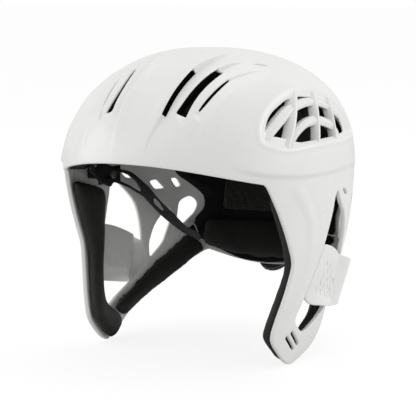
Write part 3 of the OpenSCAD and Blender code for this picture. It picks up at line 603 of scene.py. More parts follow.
# Forms pressed into the crown and arms, as depths below the plain form. The middle of the crown stands proud,
# and the channels beside it lie like shingles: each drops at a ridge, and its floor rises to the next one.
channel_floors = [1.4, 2.2, 2.4]
ridge_tops = [-0.3, 1.2, 0.0]
channel_fronts = [[(17, -95.2), (24, -96.4)], [(27.5, -90.2), (34.8, -94.4)], [(40.5, -86.8), (48.3, -89.6)]]
CHANNEL_FADE = 4.5
RIDGE_W = 0.9
PAN_DEPTH = 2.4
PAN_WALL = 4.5
OVERHANG = 2.1
LEAST_WALL = 1.9
ridge_lines = [[(12.8, -112), (14.6, -104), (16.4, -98), (17.6, -94), (18.3, -84), (18.6, -74), (19.0, -64),
                (19.6, -53), (20.8, -45), (22.7, -38), (25.5, -28), (31, -12)],
               [(23.6, -96.4), (26.2, -90), (28.1, -82), (28.9, -74), (30.3, -63), (32.3, -52), (34.8, -42),
                (37.5, -36), (42, -27), (49, -14)],
               [(34.6, -94.4), (38.0, -89), (41.0, -81), (42.0, -75), (43.5, -66), (45.1, -57), (47.3, -47), (52, -38),
                (57, -28), (65, -14)],
               [(47.8, -90), (49.9, -85.4), (52.1, -75.7), (53.9, -65.3), (56.2, -55.5), (59, -46), (62, -38),
                (67, -28), (74, -14)]]
plateau_rise = [(-113, 0), (-103, 0.8), (-98, 1.3), (-94, 2.2), (-86, 3.3), (-76, 3.8), (-54, 3.6), (-30, 1.6), (-8, 0)]
overhang_line = [(-84, 12), (-77, 9.6), (-67, 7.1), (-51.5, 5.2), (-32, 3.8), (2, 4.0), (45, 5.0), (59, 2.5)]
arm_ridge = [(-44, 0), (-37, -8), (-27, -20), (-19.5, -34), (-17.5, -48), (-20, -64), (-27, -84), (-33, -104)]
front_creases = [([(46, -89.7), (45.3, -92), (44.7, -95.3), (44.3, -98.7), (43.7, -103)], 0.35),
                 ([(57.5, -84), (58.3, -88), (57, -94.7), (54.7, -99.2)], 0.4)]
vent_rim = eased(vent_pan, 6, 3)


def at_station(rows, at, take=0, by=1):
    """A value given in rows, at places along the crown."""
    rows = np.array(rows, float)
    return np.interp(at, rows[:, by], rows[:, take])


def shingled(q):
    """Depth of the crown's forms at places in plan."""
    x, y = q.T
    edges = [at_station(line, y) for line in ridge_lines]
    depth = np.zeros(len(q))
    fade = 1 - ease((y + 47) / 33)
    for k, (front, floor, top) in enumerate(zip(channel_fronts, channel_floors, ridge_tops)):
        share = np.clip((x - edges[k]) / (edges[k + 1] - edges[k]), 0, 1)
        drop = ease((x - edges[k] - 0.3) / RIDGE_W)
        before = ridge_tops[k - 1] if k else 0.0
        start = ease((y - at_station(front, x, 1, 0)) / CHANNEL_FADE)
        here = start * fade * (before * (1 - drop) + drop * (floor * (1 - share) + top * share))
        depth = np.where((x >= edges[k]) & (x < edges[k + 1]), here, depth)
    rise = at_station(plateau_rise, y, 1, 0)
    inside = 1 - ease((x - edges[0] - 0.3) / RIDGE_W)
    return depth - rise * inside * (0.6 + 0.4 * ease((x - edges[0] + 11) / 10))


def pressed_forms(p):
    plan, side = np.abs(p[:, :2]) * [1, 0] + p[:, :2] * [0, 1], p[:, 1:]
    depth = np.zeros(len(p))
    crown = (p[:, 2] > 16) & (p[:, 1] < -6)
    depth[crown] = shingled(plan[crown])
    for line, deep in front_creases:
        gap, share = distance_to(plan[crown], line)
        depth[crown] += deep * ease((2.6 - gap) / 2.6) * (1 - ease((share - 0.6) / 0.4))
    left = at_station(overhang_line, side[:, 0], 1, 0)
    over = side[:, 1] - left
    reach = ease((side[:, 0] + 90) / 20) * ease((78 - side[:, 0]) / 25)
    depth -= OVERHANG * ease((over + 1.0) / 2.2) * np.exp(-np.maximum(0, over) / 15) * reach
    gap, share = distance_to(side, arm_ridge)
    depth -= 1.1 * ease((8 - gap) / 8) * ease(share / 0.15) * ease((1 - share) / 0.2)
    high = np.nonzero((p[:, 2] > 15) & (np.abs(p[:, 0]) > 50))[0]
    gap, _ = distance_to(side[high], np.vstack([vent_rim, vent_rim[:1]]))
    inside = inside_loops(side[high], [vent_rim])
    pan = PAN_DEPTH * ease(gap / PAN_WALL + 0.06) * inside
    depth[high] = depth[high] * (1 - inside * ease(gap / 2)) + pan - 0.4 * np.exp(-((gap - 1.5) / 1.6) ** 2) * ~inside
    return depth


def shell_inside(p):
    """Depth of the inner face: it follows the raised middle, and keeps a wall under the channels and the pans."""
    pressed = pressed_forms(p)
    return np.where(pressed < 0, WALL + pressed, np.maximum(WALL, pressed + LEAST_WALL))


def crown_zone(p):
    return (np.abs(p[:, 0]) > 7) & (np.abs(p[:, 0]) < 70) & (p[:, 1] < -8) & (p[:, 2] > 20)


def fine_zone(p):
    vent = (np.abs(p[:, 0]) > 55) & (p[:, 1] > -72) & (p[:, 1] < 74) & (p[:, 2] > 20) & (p[:, 2] < 72)
    return crown_zone(p) | vent


def with_ridges(grid):
    """Adds points on both sides of each ridge line, so that the drop is sharp, and clears others away from it."""
    chains = []
    for line in ridge_lines[:3]:
        spots = eased([(a, b) for a, b in line if b > -100], 8, 0.8, closed=False)
        for step_out in (0.25, 1.25):
            p = crown_points(spots + [step_out, 0])
            chains += [shell_flat(p), shell_flat(mirrored(p))]
    chains = np.concatenate(chains)
    tree = search_tree([(q[0], q[1], 0) for q in chains])
    clear = np.array([tree.find((q[0], q[1], 0))[2] > 0.75 for q in grid])
    return np.concatenate([grid[clear], chains])


points, faces = moulded_sheet(shell_outline, shell_holes, pressed_forms, shell_inside, 0.9,
                              (with_ridges(form_grid(1.8, 0.9, fine_zone, -145)),
                               with_ridges(form_grid(5.4, 1.8, crown_zone, -145))), mouths=low_holes)
shell = mesh_piece("moulded_shell", points, faces)

# Glossy injection-moulded ABS, white right through. The gate and the tool leave a faint ripple, which breaks
# up the reflection of the softbox and keeps the large surfaces from looking drawn.
white_abs, tree, out = new_material("moulded_white_abs")
place = add(tree, "ShaderNodeTexCoord")
cloud = add(tree, "ShaderNodeTexNoise", {"Vector": place.outputs["Object"], "Scale": 28.0, "Detail": 3.0})
tint = add(tree, "ShaderNodeMix", {0: cloud.outputs["Fac"], 6: linear("#EDEDEB"), 7: linear("#F3F3F1")},
           data_type="RGBA")
gloss = add(tree, "ShaderNodeMapRange", {"Value": cloud.outputs["Fac"], "To Min": 0.24, "To Max": 0.32})
ripple = add(tree, "ShaderNodeTexNoise", {"Vector": place.outputs["Object"], "Scale": 420.0, "Detail": 2.0})
relief = add(tree, "ShaderNodeBump", {"Height": ripple.outputs["Fac"], "Strength": 0.25, "Distance": 0.00008})
body = add(tree, "ShaderNodeBsdfPrincipled", {"Base Color": tint.outputs[2], "Roughness": gloss.outputs[0],
                                              "Normal": relief.outputs[0], "IOR": 1.49})
tree.links.new(body.outputs[0], out.inputs["Surface"])
shell.data.materials.append(white_abs)

# Side vents
# Three upright ribs and two arched webs fill each vent, moulded in one with the shell. The ribs come up to
# the outer face and thin towards it, and the webs lie deeper in the sunken pan, each with a crest along it.


def on_wall(p, depth):
    return np.column_stack([wall_x(p[:, 0], p[:, 1], depth), p])


RIB_DEPTH = 6.5
RIB_W = 2.3
WEB_W = 6.5
WEB_CREST = 0.9
WEB_EDGE = 2.9
vent_ribs = [[(-11, 66), (-27, 49.5), (-47, 23)], [(14, 65.5), (-2.2, 45), (-12.5, 24)],
             [(35, 60.5), (23, 44), (17, 24)]]
vent_webs = [[(-65, 27, 0.8), (-51, 37.5, 0.85), (-40, 44.6, 0.88), (-27, 51, 0.85), (-6, 54.8, 0.9),
              (14, 53.6, 0.95), (33, 47.5, 1.05), (50, 38, 1.05), (62, 25, 1.05)],
             [(-43, 24, 0.8), (-33.5, 33, 0.8), (-22, 39, 0.8), (-10.5, 41.6, 0.95), (1, 41.5, 1.1), (13, 39, 1.15),
              (22.5, 35, 1.15), (31, 24, 1.1)]]


def vent_strip(line, section):
    """A bar across the vent. Its section is a loop of (offset, depth); its ends lie under the pan's edge."""
    path = along(line, np.linspace(0, 1, 71))
    share = path[:, 2:] if path.shape[1] > 2 else np.ones((len(path), 1))
    path = path[:, :2]
    margin, _ = distance_to(path, np.vstack([vent_rim, vent_rim[:1]]))
    keep = np.nonzero(inside_loops(path, [vent_rim]) | (margin < 1.2))[0]
    path, share = path[keep[0]:keep[-1] + 1], share[keep[0]:keep[-1] + 1]
    way = np.gradient(path, axis=0)
    way /= np.linalg.norm(way, axis=1)[:, None]
    side = np.column_stack([-way[:, 1], way[:, 0]])
    step = np.arange(len(path))
    sink = 1.6 * (1 - ease(step / 5)) + 1.6 * (1 - ease(step[::-1] / 5))
    points, faces, count = [], [], len(section)
    for offset, depth in section:
        points.append(on_wall(path + side * offset * share, depth + sink * (1 - depth / RIB_DEPTH)))
    points = np.stack(points, 1).reshape(-1, 3)
    for k in range(len(path) - 1):
        for m in range(count):
            a, b = k * count + m, k * count + (m + 1) % count
            faces.append((a, b, b + count, a + count))
    faces.append(tuple(range(count))[::-1])
    faces.append(tuple((len(path) - 1) * count + m for m in range(count)))
    return points, faces


rib_section = eased([(-1.7, RIB_DEPTH), (-1.35, 2.4), (-RIB_W / 2 + 0.25, 0.0), (RIB_W / 2 - 0.25, 0.0), (1.35, 2.4),
                     (1.7, RIB_DEPTH)], 0.5, 1.0)
web_section = eased([(-WEB_W / 2 + 0.3, RIB_DEPTH), (-WEB_W / 2, WEB_EDGE), (0.2, WEB_CREST), (WEB_W / 2, WEB_EDGE),
                     (WEB_W / 2 - 0.3, RIB_DEPTH)], 0.7, 1.1)
vent_points = [vent_strip(line, rib_section) for line in vent_ribs]
vent_points += [vent_strip(line, web_section) for line in vent_webs]


def joined(parts, flips=(False,)):
    """Several lots of points and faces as one, with mirrored copies where asked."""
    points, faces, base = [], [], 0
    for part, part_faces in parts:
        for flip in flips:
            points.append(mirrored(part) if flip else part)
            faces += [tuple(base + i for i in (f[::-1] if flip else f)) for f in part_faces]
            base += len(part)
    return np.concatenate(points), faces


def faced_out(piece):
    """Recalculates the normals of a closed mesh so that they point outwards."""
    work = bmesh.new()
    work.from_mesh(piece.data)
    bmesh.ops.recalc_face_normals(work, faces=work.faces)
    work.to_mesh(piece.data)
    work.free()


vents = mesh_piece("vent_bars", *joined(vent_points, (False, True)))
faced_out(vents)
vents.data.materials.append(white_abs)
for piece in (shell, vents):
    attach(piece, "shell")
    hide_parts("outer_shell")

# Ear covers
# A snap-in scoop over the lower part of each ear window, moulded in the same white ABS. A fan of small dashes is
# sunk in its face, and the rear rim stands proud of the arm so that sound and water leave behind it.
EAR_T = 2.4
EAR_PROUD = 8.5
EAR_SEAM = 0.5
ear_front = [(a + EAR_SEAM, b) for a, b in ear_window[7:3:-1]]
ear_rear = [(33, -101), (39, -93), (44, -83), (48, -70)]
ear_bottom = [ear_front[0], (-10, -93.8), (2, -96.5), (14, -99), (25, -101), ear_rear[0]]
ear_top = [ear_front[3], (15, -53), (29, -58.5), (38, -63.5), ear_rear[3]]
ear_dashes = [(10.3, -65.5), (17.5, -69.3), (26, -75), (13.3, -72.4), (21, -75.6), (6.3, -74.5), (15.5, -79), (23, -80),
              (30, -83), (3, -79.8), (10, -83), (18, -85.5), (26, -88), (-2.7, -84), (5, -87), (13, -90), (21, -93)]
DASH_L = 2.6
DASH_DEEP = 1.9


def mixed_by(a, b, t):
    return a + (b - a) * t[:, None]


def ear_patch(u, v):
    corners = [np.array(c, float)[None] for c in (ear_bottom[0], ear_bottom[-1], ear_top[0], ear_top[-1])]
    return (mixed_by(along(ear_bottom, u), along(ear_top, u), v) + mixed_by(along(ear_front, v), along(ear_rear, v), u)
            - mixed_by(mixed_by(corners[0], corners[1], u), mixed_by(corners[2], corners[3], u), v))


def ear_shares(p):
    """Shares u and v across the cover, for points given behind and up."""
    k = np.linspace(0, 1, 31)
    u, v = (g.ravel() for g in np.meshgrid(k, k))
    spots = ear_patch(u, v)
    near = np.argmin(((p[:, None] - spots[None]) ** 2).sum(2), axis=1)
    u, v = u[near], v[near]
    for _ in range(8):
        miss = p - ear_patch(u, v)
        du = (ear_patch(u + 1e-3, v) - ear_patch(u - 1e-3, v)) / 2e-3
        dv = (ear_patch(u, v + 1e-3) - ear_patch(u, v - 1e-3)) / 2e-3
        det = du[:, 0] * dv[:, 1] - du[:, 1] * dv[:, 0]
        u = np.clip(u + (miss[:, 0] * dv[:, 1] - miss[:, 1] * dv[:, 0]) / det, 0, 1)
        v = np.clip(v + (du[:, 0] * miss[:, 1] - du[:, 1] * miss[:, 0]) / det, 0, 1)
    return u, v


def ear_proud(p):
    u, v = ear_shares(p[:, 1:])
    return EAR_PROUD * np.maximum(ease((u - 0.68) / 0.22), 0.7 * ease(u / 0.7) * (1 - ease(v / 0.3)))


def ear_back(p):
    u, _ = ear_shares(p[:, 1:])
    closed = ease((u - 0.9) / 0.08)
    return (EAR_T - ear_proud(p)) * (1 - closed) - 0.5 * closed


def flat_grid(step, low, high):
    """Staggered points between two corners."""
    rows = []
    for n, z in enumerate(np.arange(low[1], high[1], step)):
        y = np.arange(low[0], high[0], step) + step / 2 * (n % 2)
        rows.append(np.column_stack([y, np.full(len(y), z)]))
    return np.concatenate(rows)


def side_grid(step, low, high):
    return shell_flat(side_points(flat_grid(step, low, high)))


def turned_out(loop):
    return loop if loop_area(shell_flat(loop)) > 0 else loop[::-1]


t = np.linspace(0, 1, 12)
ear_outline = np.concatenate([along(ear_bottom, t), along(ear_rear, t)[1:], along(ear_top, t)[::-1][1:],
                              along(ear_front, t)[::-1][1:-1]])
ear_outline = eased(ear_outline, 2.5, 1.3)


def ear_face(p):
    """Depth of the outer face, with each dash sunk in it and leaning in turn to either side."""
    sunk = np.zeros(len(p))
    for k, middle in enumerate(ear_dashes):
        lean = math.radians(24 if k % 3 else -14)
        half = np.array([math.sin(lean), math.cos(lean)]) * DASH_L / 2
        gap, _ = distance_to(p[:, 1:], [middle - half, middle + half])
        sunk = np.maximum(sunk, DASH_DEEP * (1 - ease((gap - 0.35) / 0.5)))
    return sunk - ear_proud(p)


PANEL_LOW = (-8, -97)
PANEL_HIGH = (35, -61)
ear_grid = side_grid(1.4, (-26, -106), (52, -48))
spots = shell_place(ear_grid, 0)[:, 1:]
on_panel = np.all((spots > PANEL_LOW) & (spots < PANEL_HIGH), axis=1)
ear_cover = moulded_sheet(turned_out(side_points(ear_outline)), [], ear_face, ear_back, 0.7,
                          (np.vstack([ear_grid[~on_panel], side_grid(0.45, PANEL_LOW, PANEL_HIGH)]), ear_grid))
for side, flip in (("left", False), ("right", True)):
    cover = mesh_piece("ear_scoop_" + side, *joined([ear_cover], (flip,)))
    cover.data.materials.append(white_abs)
    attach(cover, "shell")
    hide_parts("ear_cover_" + side)

# Crown foam
# A cap of black EVA foam, 12 mm thick, moulded to the inside of the shell. It has the crown's slots cut
# through it and a pocket behind each vent, and its lower edge shows as a dark line under the brow.
GAP = 0.3
FACET_H = 0.4
LINER_SEAT = WALL + GAP + FACET_H
LINER_INNER = LINER_SEAT + 12
LINER_LIP = 1
LINER_REAR_EDGE = -9
VENT_POCKET = 10.5
turn = np.linspace(0, 2 * math.pi, 240, endpoint=False)
at_equator = form_point(turn, np.full(240, DOME_RUN), 0)
front_edge = brow_z(np.minimum(BROW_HALF_W, np.abs(at_equator[:, 0]))) + LINER_LIP
rear_share = ease((at_equator[:, 1] - 45) / 30)
rear_edge = (brow_z(BROW_HALF_W) + LINER_LIP) * (1 - rear_share) + LINER_REAR_EDGE * rear_share
edge_z = np.where(at_equator[:, 1] < 0, front_edge, rear_edge)
liner_outline = form_point(turn, run_of(edge_z), 0)
liner_slots = both(foam_slots, crown_points)


def liner_back(p):
    """The foam keeps clear of the vent bars, in a pocket that is a little larger than the vent."""
    inside = inside_loops(p[:, 1:], [vent_rim]) & (p[:, 2] > 10)
    return np.where(inside, VENT_POCKET, np.maximum(LINER_SEAT, shell_inside(p) + GAP))


def liner_front(p):
    channel = ease((5.5 - np.abs(np.abs(p[:, 0]) - 34)) / 2) * ease((62 - np.abs(p[:, 1])) / 4) * (p[:, 2] > 40)
    return LINER_INNER - 4 * channel


crown_foam = mesh_piece("crown_foam", *moulded_sheet(turned_out(liner_outline), liner_slots, liner_back, liner_front,
                                                     1.2, (form_grid(4, 4, None, -12), form_grid(5, 5, None, -12))))

# EVA foam cut and pressed in a hot tool: matt black with a fine closed-cell grain of about half a millimetre,
# drawn at 0.8 mm so that it shows. Its open-cut cells trap light, so it gives no highlight.
eva_foam, tree, out = new_material("pressed_eva_foam")
place = add(tree, "ShaderNodeTexCoord")
cells = add(tree, "ShaderNodeTexVoronoi", {"Vector": place.outputs["Object"], "Scale": 1250.0})
wash = add(tree, "ShaderNodeTexNoise", {"Vector": place.outputs["Object"], "Scale": 60.0, "Detail": 4.0})
tint = add(tree, "ShaderNodeMix", {0: wash.outputs["Fac"], 6: linear("#121213"), 7: linear("#1B1B1C")},
           data_type="RGBA")
relief = add(tree, "ShaderNodeBump", {"Height": cells.outputs["Distance"], "Strength": 0.5, "Distance": 0.0002})
body = add(tree, "ShaderNodeBsdfPrincipled", {"Base Color": tint.outputs[2], "Roughness": 0.9, "IOR": 1.45,
                                              "Normal": relief.outputs[0], "Specular IOR Level": 0.2})
tree.links.new(body.outputs[0], out.inputs["Surface"])
crown_foam.data.materials.append(eva_foam)
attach(crown_foam, "shell")
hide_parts("impact_liner")


# Rear foam
# A second moulding of the same foam wraps the back of the head from ear to ear, and ends in a rolled lip just
# under the shell's edge. A groove on its outer face carries the lace.
REAR_SEAT = WALL + GAP + 1.5 * FACET_H
REAR_INNER = REAR_SEAT + 9.5
REAR_TOP = LINER_REAR_EDGE - GAP
GROOVE_V = 1 / 11
GROOVE_DEEP = 2.2
rear_front_edge = [(80, -62), (87, -54), (95, -46), (97.5, -39), (96.5, -33), (90, -25), (81, -17), (77, REAR_TOP)]


def rear_place(u, v, depth):
    edge = along(rear_front_edge, v)
    s = 1 - 2 * u
    share = (edge[:, 1] - rear_front_edge[0][1]) / (REAR_TOP - rear_front_edge[0][1])
    low = (2.5 - NAPE_Z) * (1 - np.abs(s) ** 2.2) + rear_front_edge[0][1] * np.abs(s) ** 2.2
    _, _, rear = half_sizes(edge[:, 1], depth)
    full_turn = np.arcsin(np.minimum(1, edge[:, 0] / rear) ** (PLAN_N / 2))
    turn = math.pi / 2 - s * (math.pi / 2 - full_turn)
    return at_height(turn, low + (REAR_TOP - low) * share, depth)


def slab(place_at, back, front, lengths, counts, rim, corner=0.0):
    """A closed piece over u and v between two depths, with rounded rims and softened corners."""
    spans = []
    for length, count in zip(lengths, counts):
        ends = np.array(RIM_STEPS) * rim / length
        spans.append(np.concatenate([ends, np.linspace(ends[-1], 1 - ends[-1], count)[1:-1], 1 - ends[::-1]]))
    u, v = (g.ravel() for g in np.meshgrid(*spans))
    rows, cols = len(spans[1]), len(spans[0])
    gap = np.minimum(np.minimum(u, 1 - u) * lengths[0], np.minimum(v, 1 - v) * lengths[1])
    drop = rim_drop(rim, gap)
    s, t = 2 * u - 1, 2 * v - 1
    u2, v2 = 0.5 + s * (1 - corner * np.abs(s) ** 3 * t ** 6) / 2, 0.5 + t * (1 - corner * np.abs(t) ** 3 * s ** 6) / 2
    points = [place_at(u2, v2, back(u, v) + drop), place_at(u2, v2, front(u, v) - drop)]
    faces, m = [], rows * cols
    for r in range(rows - 1):
        for c in range(cols - 1):
            a = r * cols + c
            faces.append((a, a + 1, a + 1 + cols, a + cols))
            faces.append((m + a, m + a + cols, m + a + 1 + cols, m + a + 1))
    rim_path = list(range(cols)) + [r * cols + cols - 1 for r in range(1, rows)]
    rim_path += [(rows - 1) * cols + c for c in range(cols - 2, -1, -1)] + [r * cols for r in range(rows - 2, 0, -1)]
    for k, a in enumerate(rim_path):
        b = rim_path[(k + 1) % len(rim_path)]
        faces.append((a, a + m, b + m, b))
    return np.concatenate(points), faces


def level(depth):
    return lambda u, v: np.full(len(u), float(depth))


def rear_groove(u, v):
    return REAR_SEAT + GROOVE_DEEP * np.maximum(0, 1 - np.abs(v - GROOVE_V) * 14)


rear_foam = mesh_piece("rear_foam", *slab(rear_place, rear_groove, level(REAR_INNER), (230, 75), (80, 36), 2.2))
faced_out(rear_foam)
rear_foam.data.materials.append(eva_foam)
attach(rear_foam, "shell")
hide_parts("rear_liner")


# Comfort pads
# Soft foam under cloth or a skinned face, held in the foam by hook tape: four in the crown, a mesh one at the
# back of the head, a long one round the nape, one down each cheek and one along each jaw.
PAD_GAP = 0.45
PAD_RIM = 1.2
PAD_ROLL = 14.0
PAD_GRID = 2.4
PAD_SWELL = 1.0
PAD_FRAMES = 20
CROWN_PAD_SEAT = LINER_INNER + FACET_H + PAD_GAP
REAR_PAD_SEAT = REAR_INNER + FACET_H / 2 + PAD_GAP
SIDE_PAD_SEAT = WALL + FACET_H + PAD_GAP


def crowned(seat, thickness, lengths):
    """Depth of a cushion's face: drawn in at its edges and full in the middle."""
    def face(u, v):
        a = np.clip(np.minimum(u, 1 - u) * lengths[0] / PAD_ROLL, 0, 1)
        b = np.clip(np.minimum(v, 1 - v) * lengths[1] / PAD_ROLL, 0, 1)
        full = np.sqrt(1 - (1 - a) ** 2) * np.sqrt(1 - (1 - b) ** 2)
        return seat + thickness * (0.38 + 0.62 * full ** 0.8)
    return face


def crown_place(middle, half, low, high):
    def place_at(u, v, depth):
        turn = np.radians(middle + half * (2 * u - 1))
        up = np.radians(low + (high - low) * v)
        return at_height(turn, EQUATOR_Z + (CROWN_H - depth) * np.sin(up), depth)
    return place_at


def rear_pad_place(half, low, high):
    def place_at(u, v, depth):
        turn = np.radians(90 + half * (2 * u - 1))
        return at_height(turn, low(u) + (high - low(u)) * v, depth)
    return place_at


def plumped(pad):
    """Fills a pad by a cloth simulation with its back held, the cover swelling by no more than PAD_SWELL."""
    scene, layer = bpy.context.scene, bpy.context.view_layer
    back = search_tree([v.co for v in pad.data.vertices[:len(pad.data.vertices) // 2]])
    cover = bpy.data.objects.new(pad.name + "_cover", pad.data.copy())
    scene.collection.objects.link(cover)

    def baked():
        layer.update()
        mesh = bpy.data.meshes.new_from_object(cover.evaluated_get(bpy.context.evaluated_depsgraph_get()))
        cover.modifiers.clear()
        cover.data = mesh

    grid = cover.modifiers.new("even_grid", "REMESH")
    grid.mode, grid.voxel_size = "VOXEL", PAD_GRID * MM
    evened = cover.modifiers.new("evened_steps", "SMOOTH")
    evened.factor, evened.iterations = 0.5, 8
    baked()
    held = cover.vertex_groups.new(name="back")
    held.add([v.index for v in cover.data.vertices if back.find(v.co)[2] < 0.6 * PAD_GRID * MM], 1.0, "REPLACE")
    start = np.array([v.co for v in cover.data.vertices])
    cloth = cover.modifiers.new("cover_cloth", "CLOTH")
    cloth.settings.use_pressure = True
    cloth.settings.uniform_pressure_force = 4
    cloth.settings.effector_weights.gravity = 0
    cloth.settings.vertex_group_mass = "back"
    cloth.point_cache.frame_start, cloth.point_cache.frame_end = 1, PAD_FRAMES
    for number in range(1, PAD_FRAMES + 1):
        scene.frame_set(number)
    baked()
    scene.frame_set(1)
    moved = np.array([v.co for v in cover.data.vertices]) - start
    length = np.maximum(np.linalg.norm(moved, axis=1), 1e-9)[:, None]
    cover.data.vertices.foreach_set("co", (start + moved * np.minimum(1, PAD_SWELL * MM / length)).ravel())
    settle = cover.modifiers.new("settled_face", "SMOOTH")
    settle.factor, settle.iterations = 0.5, 5
    cover.modifiers.new("even_face", "SUBSURF")
    baked()
    pad.data = cover.data
    pad.data.polygons.foreach_set("use_smooth", [True] * len(pad.data.polygons))
    bpy.data.objects.remove(cover)


def cushion(name, place_at, seat, thickness, lengths, counts, corner, finish):
    face = crowned(seat, thickness, lengths)
    pad = mesh_piece(name, *slab(place_at, level(seat), face, lengths, counts, PAD_RIM, corner))
    faced_out(pad)
    pad.data.materials.append(finish)
    plumped(pad)
    return pad


# Knitted spacer mesh over soft foam: a grid of small round openings at 2.4 mm, painted darker inside as painted
# shade in the openings, with a light fuzz on the yarn that greys it where it turns away.
spacer_mesh, tree, out = new_material("knitted_spacer_mesh")
place = add(tree, "ShaderNodeTexCoord")
holes = add(tree, "ShaderNodeTexVoronoi", {"Vector": place.outputs["Object"], "Scale": 420.0, "Randomness": 0.25})
edge = add(tree, "ShaderNodeMapRange", {"Value": holes.outputs["Distance"], "From Min": 0.22, "From Max": 0.42})
yarn = add(tree, "ShaderNodeTexNoise", {"Vector": place.outputs["Object"], "Scale": 1800.0, "Detail": 2.0})
# painted shade: the openings of the mesh are darker than the yarn around them
tint = add(tree, "ShaderNodeMix", {0: edge.outputs[0], 6: linear("#0C0C0C"), 7: linear("#2E2D2B")}, data_type="RGBA")
height = add(tree, "ShaderNodeMath", {0: edge.outputs[0], 1: yarn.outputs["Fac"]}, operation="ADD")
relief = add(tree, "ShaderNodeBump", {"Height": height.outputs[0], "Strength": 0.8, "Distance": 0.0004})
body = add(tree, "ShaderNodeBsdfPrincipled", {"Base Color": tint.outputs[2], "Roughness": 0.9, "IOR": 1.45,
                                              "Normal": relief.outputs[0], "Specular IOR Level": 0.3,
                                              "Sheen Weight": 0.2, "Sheen Roughness": 0.5})
tree.links.new(body.outputs[0], out.inputs["Surface"])

# Skinned pad face: polyurethane film over foam, satin black with a fine leather-like grain about 1 mm across.
pad_skin, tree, out = new_material("skinned_pad_film")
place = add(tree, "ShaderNodeTexCoord")
grain = add(tree, "ShaderNodeTexVoronoi", {"Vector": place.outputs["Object"], "Scale": 900.0}, feature="SMOOTH_F1")
wash = add(tree, "ShaderNodeTexNoise", {"Vector": place.outputs["Object"], "Scale": 45.0, "Detail": 3.0})
tint = add(tree, "ShaderNodeMix", {0: wash.outputs["Fac"], 6: linear("#1D1C1B"), 7: linear("#2C2A28")},
           data_type="RGBA")
gloss = add(tree, "ShaderNodeMapRange", {"Value": wash.outputs["Fac"], "To Min": 0.5, "To Max": 0.66})
relief = add(tree, "ShaderNodeBump", {"Height": grain.outputs["Distance"], "Strength": 0.35, "Distance": 0.00015})
body = add(tree, "ShaderNodeBsdfPrincipled", {"Base Color": tint.outputs[2], "Roughness": gloss.outputs[0], "IOR": 1.5,
                                              "Normal": relief.outputs[0], "Specular IOR Level": 0.35})
tree.links.new(body.outputs[0], out.inputs["Surface"])

pads = {}
for name, middle, half, low, high, size in (("front", -90, 24, 34, 74, (75, 55)), ("rear", 90, 26, 30, 72, (85, 60)),
                                            ("left", 0, 24, 34, 70, (75, 50)), ("right", 180, 24, 34, 70, (75, 50))):
    pads["crown_pad_" + name] = cushion("crown_cushion_" + name, crown_place(middle, half, low, high), CROWN_PAD_SEAT,
                                        8, size, (26, 18), 0.16, spacer_mesh)
pads["nape_pad"] = cushion("nape_cushion", rear_pad_place(38, lambda u: 5 - NAPE_Z + 9 * (2 * u - 1) ** 2, -51),
                           REAR_PAD_SEAT, 6, (112, 30), (44, 16), 0.1, pad_skin)
pads["occipital_pad"] = cushion("occipital_cushion", rear_pad_place(30, lambda u: np.full(len(u), -48.0), -16),
                                REAR_PAD_SEAT, 6, (110, 32), (44, 16), 0.1, spacer_mesh)

arm_path = np.array([(-CORNER_Y, -0.3)] + arm_front + [(-15, 1.5 - TIP_Z)], float)


def offset_side(path, width):
    """A path moved sideways by half a width."""
    way = np.array([path[min(len(path) - 1, k + 1)] - path[max(0, k - 1)] for k in range(len(path))])
    way /= np.linalg.norm(way, axis=1)[:, None]
    return path + np.column_stack([-way[:, 1], way[:, 0]]) * width / 2


arm_inset = offset_side(arm_path, 4.0)
cheek_front = np.vstack([arm_inset[0] + (arm_inset[1] - arm_inset[0]) * 0.35,
                         arm_inset[[1, 2, 4, 5, 6, 7, 8, 9, 10, 11]]])
cheek_rear = [(1, -20), (-1, -32), (-5, -43), (-9, -57), (-15, -72), (-20, -86), (-23, -101), (-20, -108), (-10, -115),
              (-4, -119.5), (1, -124)]
jaw_upper = [(-7, -115), (5, -109), (22, -101), (43, -87), (62, -75), (79, -63)]
jaw_lower = [(3, -125), (14, -120), (28, -112.5), (47, -101), (66, -88), (82, -76.5)]


def cheek_place(flip):
    def place_at(u, v, depth):
        p = on_wall(mixed_by(along(cheek_rear, v), along(cheek_front, v), u), depth)
        return mirrored(p) if flip else p
    return place_at


def jaw_place(flip):
    def place_at(u, v, depth):
        p = on_wall(mixed_by(along(jaw_lower, u), along(jaw_upper, u), v), depth)
        return mirrored(p) if flip else p
    return place_at


for side, flip in (("left", False), ("right", True)):
    pads["cheek_pad_" + side] = cushion("cheek_cushion_" + side, cheek_place(flip), SIDE_PAD_SEAT, 9.5, (26, 125),
                                        (16, 60), 0.05, pad_skin)
    pads["jaw_pad_" + side] = cushion("jaw_cushion_" + side, jaw_place(flip), SIDE_PAD_SEAT, 9.5, (95, 13),
                                      (46, 10), 0.04, pad_skin)

# Fit harness
# Two springy nylon arms run from the brow band down behind the ears, with two long openings in each to save
# weight. They slide on a riveted guide at the temple when the dial draws the lace in.
HARNESS_HALF_W = HALF_W - LINER_INNER - 4.6
HARNESS_FRONT_Y = -25
HARNESS_REAR_Y = 8
HARNESS_FRONT_L = FRONT_REACH - LINER_INNER - 10.9 + HARNESS_FRONT_Y
HARNESS_REAR_L = 72
HARNESS_T = 1.8
HARNESS_LAP = HARNESS_T + 0.2
BAND_LIP = 3
arm_outline = [(-47, 9), (-36, 7), (-20, 2), (2, -5), (14, -7.5), (20, -10.5), (33, -21), (43, -34), (52, -45),
               (59, -56), (66, -62), (66, -69), (59, -62), (50, -52.5), (41, -42.5), (30, -30), (14, -21.3),
               (-5, -14.8), (-9, -14.5), (-12, -18), (-27, -12.5), (-35, -6.5), (-47, -1)]
arm_openings = [[(-4, -7), (5, -8), (13, -10.7), (22, -17), (28, -25), (26, -25.5), (13, -18.6), (-4, -12.4)],
                [(37.5, -32.3), (39.5, -31.8), (43.3, -36), (46.6, -42.6), (45.8, -43.4), (42.6, -40.8), (38, -35.6)]]
GUIDE_PIN = (-9, -8)
